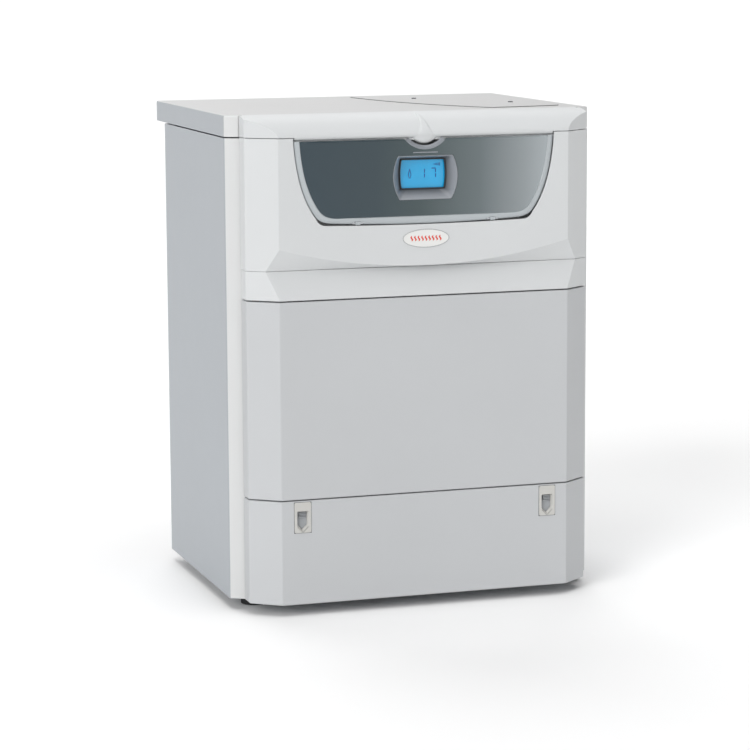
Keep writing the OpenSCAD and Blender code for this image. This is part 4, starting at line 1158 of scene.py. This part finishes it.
def flap_rim():
    """Silver rim that slopes back from the panel to the fascia, cut out where the hinge ears reach in."""
    steps = 150
    outer = rim_half()
    inner = panel_half() + [(0, foot + 0.600)]
    outer_line = even(outer + [(-x, z) for x, z in reversed(outer[:-1])], steps)
    inner_line = even(inner + [(-x, z) for x, z in reversed(inner[:-1])], steps)
    profile = ((0, RIM_HIGH.y), (0, RIM_LOW.y + 0.0026), (0.06, RIM_LOW.y + 0.0021),
               (0.30, RIM_LOW.y + 0.0012), (0.55, RIM_LOW.y + 0.0005), (0.80, RIM_LOW.y + 0.0001),
               (0.94, RIM_LOW.y), (1, RIM_LOW.y + 0.0004), (1, RIM_HIGH.y))
    sections = []
    for (xo, zo), (xi, zi) in zip(outer_line, inner_line):
        sections.append([(xo + (xi - xo) * share, y, zo + (zi - zo) * share) for share, y in profile])
    made = piece("flap_rim_ring", *loft(sections), "flap", "silver_trim", 40)
    for s in (-1, 1):
        x = s * hinge_x
        ear = []
        for i in range(24):
            angle = 2 * math.pi * i / 24
            ear.append((hinge_y + 0.003 * math.cos(angle), hinge_z + 0.003 * math.sin(angle)))
        ear = loft([[(x + k * 0.0045, y, z) for y, z in ear] for k in (-1, 1)])
        carve(made, ear)
        carve(made,
              box_part(x - 0.0045, x + 0.0045, hinge_y, hinge_y + 0.004, hinge_z - 0.003, hinge_z + 0.003))
    smooth(made.data, 40)
    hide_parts("flap_rim")


def flap_bezel():
    """Deep surround that narrows from the flap's face to the display, with a dark ring at the back as painted
    shadow round the display.
    """
    steps = 180
    centre = (0, window_z)

    def ring(outline, y):
        return [(x, y, z) for x,
                z in by_angle(rounded(mirrored(outline), 0.0009, 2, closed=True), centre, steps)]
    back = BEZEL_HIGH.y
    rings = [ring(window_half(0.0015), flap_face_y + 0.0006), ring(window_half(0.0010), flap_face_y),
             ring(window_half(0.0004), flap_face_y), ring(window_half(-0.0002), flap_face_y + 0.0006),
             ring(screen_half(0.0014), back - 0.0014), ring(screen_half(0.0014), back),
             ring(screen_half(0.0028), back)]
    made = piece("flap_window", *loft(rings, closed_loft=True), "flap", "silver_trim", 28, "window_plastic")
    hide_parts("flap_bezel")
    # A black ring round the display stands for the shadow between the display and the window's walls
    painted_shadow_ring = [ring(screen_half(0.0013), back - 0.0030), ring(screen_half(-0.0003), back - 0.0030),
            ring(screen_half(-0.0003), back), ring(screen_half(0.0013), back)]
    piece("flap_window_painted_shadow", *loft(painted_shadow_ring, closed_loft=True), "flap", "silver_trim", 40, "black_plastic")


# ---- Display ----

def display_screen():
    low, high = GLASS_LOW, GLASS_HIGH
    outline = rounded([(low.x, low.z), (high.x, low.z), (high.x, high.z), (low.x, high.z)], 0.0015, 4,
                      closed=True)
    made = piece("display_screen", *facing(outline, low.y, high.y), "casing", "display_blue", 40)
    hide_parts("display_glass")
    soften(made, 0.0003, 2, 40)
    parts = []
    for x, digit in ((-0.020, "flame"), (0.001, "1"), (0.019, "7")):
        parts += glyph(digit, x, window_z + 0.0005)
    for i in range(5):
        parts.append(((0.024 + 0.0022 * i - 0.004, window_z + 0.014), (0.0012, 0.0022 + 0.0007 * i)))
    bars = joined(bars_at(parts, low.y - 0.00015, low.y + 0.0002))
    piece("display_marks", *bars, "casing", "display_blue", 40, "display_ink")


SEGMENTS = {"0": "abcdef", "1": "bc", "2": "abged", "3": "abgcd", "4": "fgbc", "7": "abc"}
FLAME_WIDTHS = (0.0016, 0.0030, 0.0044, 0.0054, 0.0058, 0.0050, 0.0034)
FIGURE = Vector((0.0066, 0.0148, 0.0016))


def glyph(kind, x, z, scale=1.0):
    """Bars of a seven-segment figure, or of a stepped flame symbol, as centres and sizes."""
    w, h, t = FIGURE * scale
    if kind == "flame":
        step = h / len(FLAME_WIDTHS)
        bars = []
        for i, width in enumerate(FLAME_WIDTHS):
            level = z + h / 2 - step * (i + 0.5)
            for side in (-1, 1):
                bars.append(((x + side * (width - t) / 2, level), (t * 0.8, step)))
        return bars
    upright_bar = (t, h / 2 - t)
    places = {"a": ((0, h / 2), (w, t)), "b": ((w / 2, h / 4), upright_bar),
              "c": ((w / 2, -h / 4), upright_bar),
              "d": ((0, -h / 2), (w, t)), "e": ((-w / 2, -h / 4), upright_bar), "f": ((-w / 2, h / 4),
                                                                                      upright_bar),
              "g": ((0, 0), (w, t))}
    return [((x + places[k][0][0], z + places[k][0][1]), places[k][1]) for k in SEGMENTS[kind]]


def bars_at(bars, y0, y1):
    """Bars given as centres and sizes, as (verts, faces) blocks between two depths."""
    return [box_part(x - w / 2, x + w / 2, y0, y1, z - h / 2, z + h / 2) for (x, z), (w, h) in bars]


# ---- Control bay behind the flap ----

tray_y = front_y + 0.026
print_t = 0.0002


def centre_of(node):
    """Middle of a node's box as seen from the front, and its half width."""
    low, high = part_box(node)
    return Vector(((low.x + high.x) / 2, (low.z + high.z) / 2)), (high.x - low.x) / 2


def ray_bar(centre, degrees, near, far, width, y0, y1):
    """A bar that points away from centre, at an angle clockwise from straight up."""
    angle = math.radians(degrees)
    along = Vector((math.sin(angle), math.cos(angle)))
    across = Vector((along.y, -along.x)) * width / 2
    ends = [along * near - across, along * far - across, along * far + across, along * near + across]
    return facing([tuple(centre + p) for p in ends], y0, y1)


def arc_band(centre, start, end, inner, outer, y0, y1):
    """A band along an arc, with its angles clockwise from straight up."""
    far = arc(centre, outer, 90 - start, 90 - end, 24)
    near = arc(centre, inner, 90 - end, 90 - start, 24)
    return facing(far + near, y0, y1)


def knob(node):
    """Fluted knob with a skirt, a dished face and a light pointer."""
    centre, radius = centre_of(node)
    low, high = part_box(node)
    face = low.y
    base = tray_y - 0.0005
    flutes = 18
    profile = [(0, base, 0), (0, base - 0.0016, 0), (0.0007, base - 0.0022, 0),
               (0.0012, base - 0.0030, 0.0011),
               (0.0017, face + 0.0018, 0.0011), (0.0023, face + 0.0006, 0.0007), (0.0034, face, 0),
               (0.0050, face, 0), (0.0060, face + 0.0006, 0)]
    rings = []
    for inset, y, depth in profile:
        ring = []
        for i in range(8 * flutes):
            angle = 2 * math.pi * i / (8 * flutes)
            r = radius - inset - depth * (0.5 + 0.5 * math.cos(flutes * angle)) ** 2
            ring.append((centre.x + r * math.cos(angle), y, centre.y + r * math.sin(angle)))
        rings.append(ring)
    shaft = [[(x, y, z) for x, z in arc(centre, 0.003, 0, 345, 23)] for y in (base - 0.001, high.y)]
    made = piece(node + "_cap", *joined([loft(rings), loft(shaft)]), node, "dark_plastic", 50)
    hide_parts(node)
    pointer = ray_bar(centre, 0, 0.0030, radius - 0.0036, 0.0014, face - 0.0001, face + 0.0008)
    piece(node + "_pointer", *pointer, node, "dark_plastic", 40, "badge_plastic")
    return [ray_bar(centre, 30 * i - 135, radius + 0.0026, radius + 0.0036 + 0.0003 * i, 0.0009,
                    tray_y - print_t, tray_y + print_t) for i in range(10)]


def gauge():
    """Dial, scale and bright ring of the pressure gauge, from 0 to 4 over three quarters of a turn."""
    centre, radius = centre_of("pressure_gauge")
    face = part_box("pressure_gauge")[0].y
    bore = radius - 0.0025
    dial_y = tray_y - 0.0018
    hole, edge, back = 0.0016, bore - 0.0002, dial_y + 0.0004
    dial = hoop([(hole, dial_y), (edge, dial_y), (edge, back), (hole, back)], centre)
    piece("gauge_dial", *dial, "casing", "badge_plastic", 40)
    ink = []
    for i in range(21):
        near = 0.0160 if i % 5 == 0 else 0.0178
        ink.append(ray_bar(centre, -135 + 13.5 * i, near, 0.0194, 0.0005, dial_y - print_t, dial_y + print_t))
    for i in range(5):
        angle = math.radians(-135 + 67.5 * i)
        x, z = centre + Vector((math.sin(angle), math.cos(angle))) * 0.0125
        ink += bars_at(glyph(str(i), x, z, 0.28), dial_y - print_t, dial_y + print_t)
    piece("gauge_scale", *joined(ink), "casing", "black_plastic", 40)
    zone = arc_band(centre, -67.5, 0, 0.0198, 0.0209, dial_y - print_t, dial_y + print_t)
    piece("gauge_green_zone", *zone, "casing", "circuit_green", 40)
    zone = arc_band(centre, 67.5, 135, 0.0198, 0.0209, dial_y - print_t, dial_y + print_t)
    piece("gauge_red_zone", *zone, "casing", "red_plastic", 40)
    ring = [(bore + 0.0002, face + 0.0020), (bore + 0.0003, face + 0.0004), (bore + 0.0009, face - 0.0006),
            (radius - 0.0006, face - 0.0009), (radius + 0.0006, face - 0.0006), (radius + 0.0012,
                                                                                 face + 0.0006),
            (radius + 0.0012, tray_y + print_t), (radius - 0.0006, tray_y + print_t)]
    piece("gauge_ring", *hoop(ring, centre), "casing", "stainless", 40)


def button_ring(node):
    """Raised ring around a push button."""
    centre, radius = centre_of(node)
    ring = [(radius + grow, tray_y + y) for grow, y in (
        (0.0004, print_t), (0.0004, -0.0012), (0.0009, -0.0018), (0.0019, -0.0018), (0.0027, -0.0008),
        (0.0028, print_t))]
    piece(node + "_ring", *hoop(ring, centre), "casing", "grey_plastic", 50)


def control_bay():
    scales = knob("heating_knob") + knob("hot_water_knob")
    gauge()
    button_ring("reset_button")
    button_ring("info_button")
    y0, y1 = tray_y - print_t, tray_y + print_t
    above = 0.0300
    heating = centre_of("heating_knob")[0]
    radiator = [((heating.x + 0.0026 * i - 0.0039, heating.y + above), (0.0014, 0.0070)) for i in range(4)]
    radiator += [((heating.x, heating.y + above + z), (0.0110, 0.0007)) for z in (-0.0024, 0.0024)]
    water = centre_of("hot_water_knob")[0]
    drop = arc((water.x, water.y + above - 0.0010), 0.0026, 150, 390,
               20) + [(water.x, water.y + above + 0.0042)]
    scales += bars_at(radiator, y0, y1) + [facing(drop, y0, y1)]
    piece("control_scales", *joined(scales), "casing", "shell_plastic", 40, "dark_plastic")
    tray = frame["nodes"]["control_panel"]
    tray.data.materials.append(MATERIALS["silver_trim"])
    for polygon in tray.data.polygons:
        if abs(abs(polygon.center.x) - hinge_x) < 0.006 and polygon.center.y < tray_y - 0.018:
            polygon.material_index = 1


# ---- Stage, light and camera ----

def stage():
    half = 60
    mesh = bpy.data.meshes.new("floor")
    mesh.from_pydata([(-half, -half, 0), (half, -half, 0), (half, half, 0), (-half, half, 0)], [],
                     [[0, 1, 2, 3]])
    floor = bpy.data.objects.new("floor", mesh)
    bpy.context.scene.collection.objects.link(floor)
    floor.location.z = -0.0003
    n = Nodes("floor_paint")
    n.feed(n.ramp(n.noise(0.8, 3.0), [(0.3, rgb(243, 243, 243)), (0.7, rgb(246, 246, 246))]), "Base Color")
    n.feed(n.spread(n.noise(3.0), 0.8, 0.9), "Roughness")
    n.set(Specular_IOR_Level=0.1)
    mesh.materials.append(n.material)


# Soft lights: name, azimuth from the front towards +X, elevation, softness, strength
LIGHTS = (
    ("key", -50, 25, 30, 1.60),
    ("top", 10, 78, 60, 1.72),
    ("fill", 55, 18, 50, 0.12),
    ("rear", 180, 40, 50, 1.42),
)
AMBIENT = 0.12
HORIZON = 0.80
HORIZON_BAND = (0.15, 0.18)


def lights():
    for name, azimuth, elevation, softness, strength in LIGHTS:
        data = bpy.data.lights.new(name, "SUN")
        data.energy = strength
        data.angle = math.radians(softness)
        lamp = bpy.data.objects.new(name, data)
        bpy.context.scene.collection.objects.link(lamp)
        a, e = math.radians(azimuth), math.radians(elevation)
        towards = Vector((math.sin(a) * math.cos(e), -math.cos(a) * math.cos(e), math.sin(e)))
        lamp.rotation_mode = "QUATERNION"
        lamp.rotation_quaternion = towards.to_track_quat("Z", "Y")
    world = bpy.data.worlds.new("studio")
    world.use_nodes = True
    nodes = world.node_tree.nodes
    background = nodes["Background"]
    background.inputs["Color"].default_value = (1, 1, 1, 1)
    split = nodes.new("ShaderNodeSeparateXYZ")
    level = nodes.new("ShaderNodeMapRange")
    level.inputs["From Min"].default_value, level.inputs["From Max"].default_value = HORIZON_BAND
    level.inputs["To Min"].default_value = HORIZON
    level.inputs["To Max"].default_value = AMBIENT
    world.node_tree.links.new(nodes.new("ShaderNodeTexCoord").outputs["Generated"], split.inputs[0])
    world.node_tree.links.new(split.outputs["Z"], level.inputs["Value"])
    world.node_tree.links.new(level.outputs[0], background.inputs["Strength"])
    bpy.context.scene.world = world
    bpy.context.scene.view_settings.view_transform = "Standard"


CAMERA_PLACE = (-1.3805, -4.2794, 1.0312)
CAMERA_TURN = 17.875
CAMERA_DOWN = 8.854
CAMERA_ROLL = 0.305
CAMERA_LENS = 132.5


def camera():
    data = bpy.data.cameras.new("camera")
    data.sensor_width = 36
    data.lens = CAMERA_LENS
    eye = bpy.data.objects.new("camera", data)
    bpy.context.scene.collection.objects.link(eye)
    eye.location = CAMERA_PLACE
    turn, down, roll = (math.radians(a) for a in (CAMERA_TURN, CAMERA_DOWN, CAMERA_ROLL))
    forward = Vector((math.sin(turn) * math.cos(down), math.cos(turn) * math.cos(down), -math.sin(down)))
    level = forward.cross(Vector((0, 0, 1))).normalized()
    up = level.cross(forward)
    right = level * math.cos(roll) - up * math.sin(roll)
    up = right.cross(forward)
    eye.rotation_mode = "QUATERNION"
    eye.rotation_quaternion = Matrix((right, up, -forward)).transposed().to_quaternion()
    bpy.context.scene.camera = eye


# Widths of the small round edges on CAD nodes that stay as they are
SOFT_EDGES = {"display_frame": 0.0006, "reset_button": 0.0009, "info_button": 0.0009, "lid_screws": 0.0003,
              "foot_locknuts": 0.0004, "burner_door": 0.0008, "gas_valve": 0.0010, "condensate_trap": 0.0008,
              "safety_valve_cap": 0.0005, "flue_duct": 0.0005, "air_duct": 0.0005, "gas_cock_lever": 0.0004,
              "control_box": 0.0006}


def finish_cad_nodes():
    """Gives each CAD node that shows its record slot's finish, and some of them small round edges."""
    for part in frame["record"]["subparts"]:
        node = frame["nodes"][part["node"]]
        if node.hide_render:
            continue
        node.data.materials.clear()
        node.data.materials.append(MATERIALS[part["material_slot"]])
        if part["node"] in SOFT_EDGES:
            soften(node, SOFT_EDGES[part["node"]], 2, 40)


side_panel("side_panel_right", 1, "right_side_panel")
side_panel("side_panel_left", -1, "left_side_panel")
front_panels()
lid()
visor()
visor_lip()
ridge()
closing_plate()
fascia()
grip_rail()
badge()
latches()
flap_panel()
flap_rim()
flap_bezel()
display_screen()
finish_cad_nodes()
control_bay()
stage()
lights()
camera()
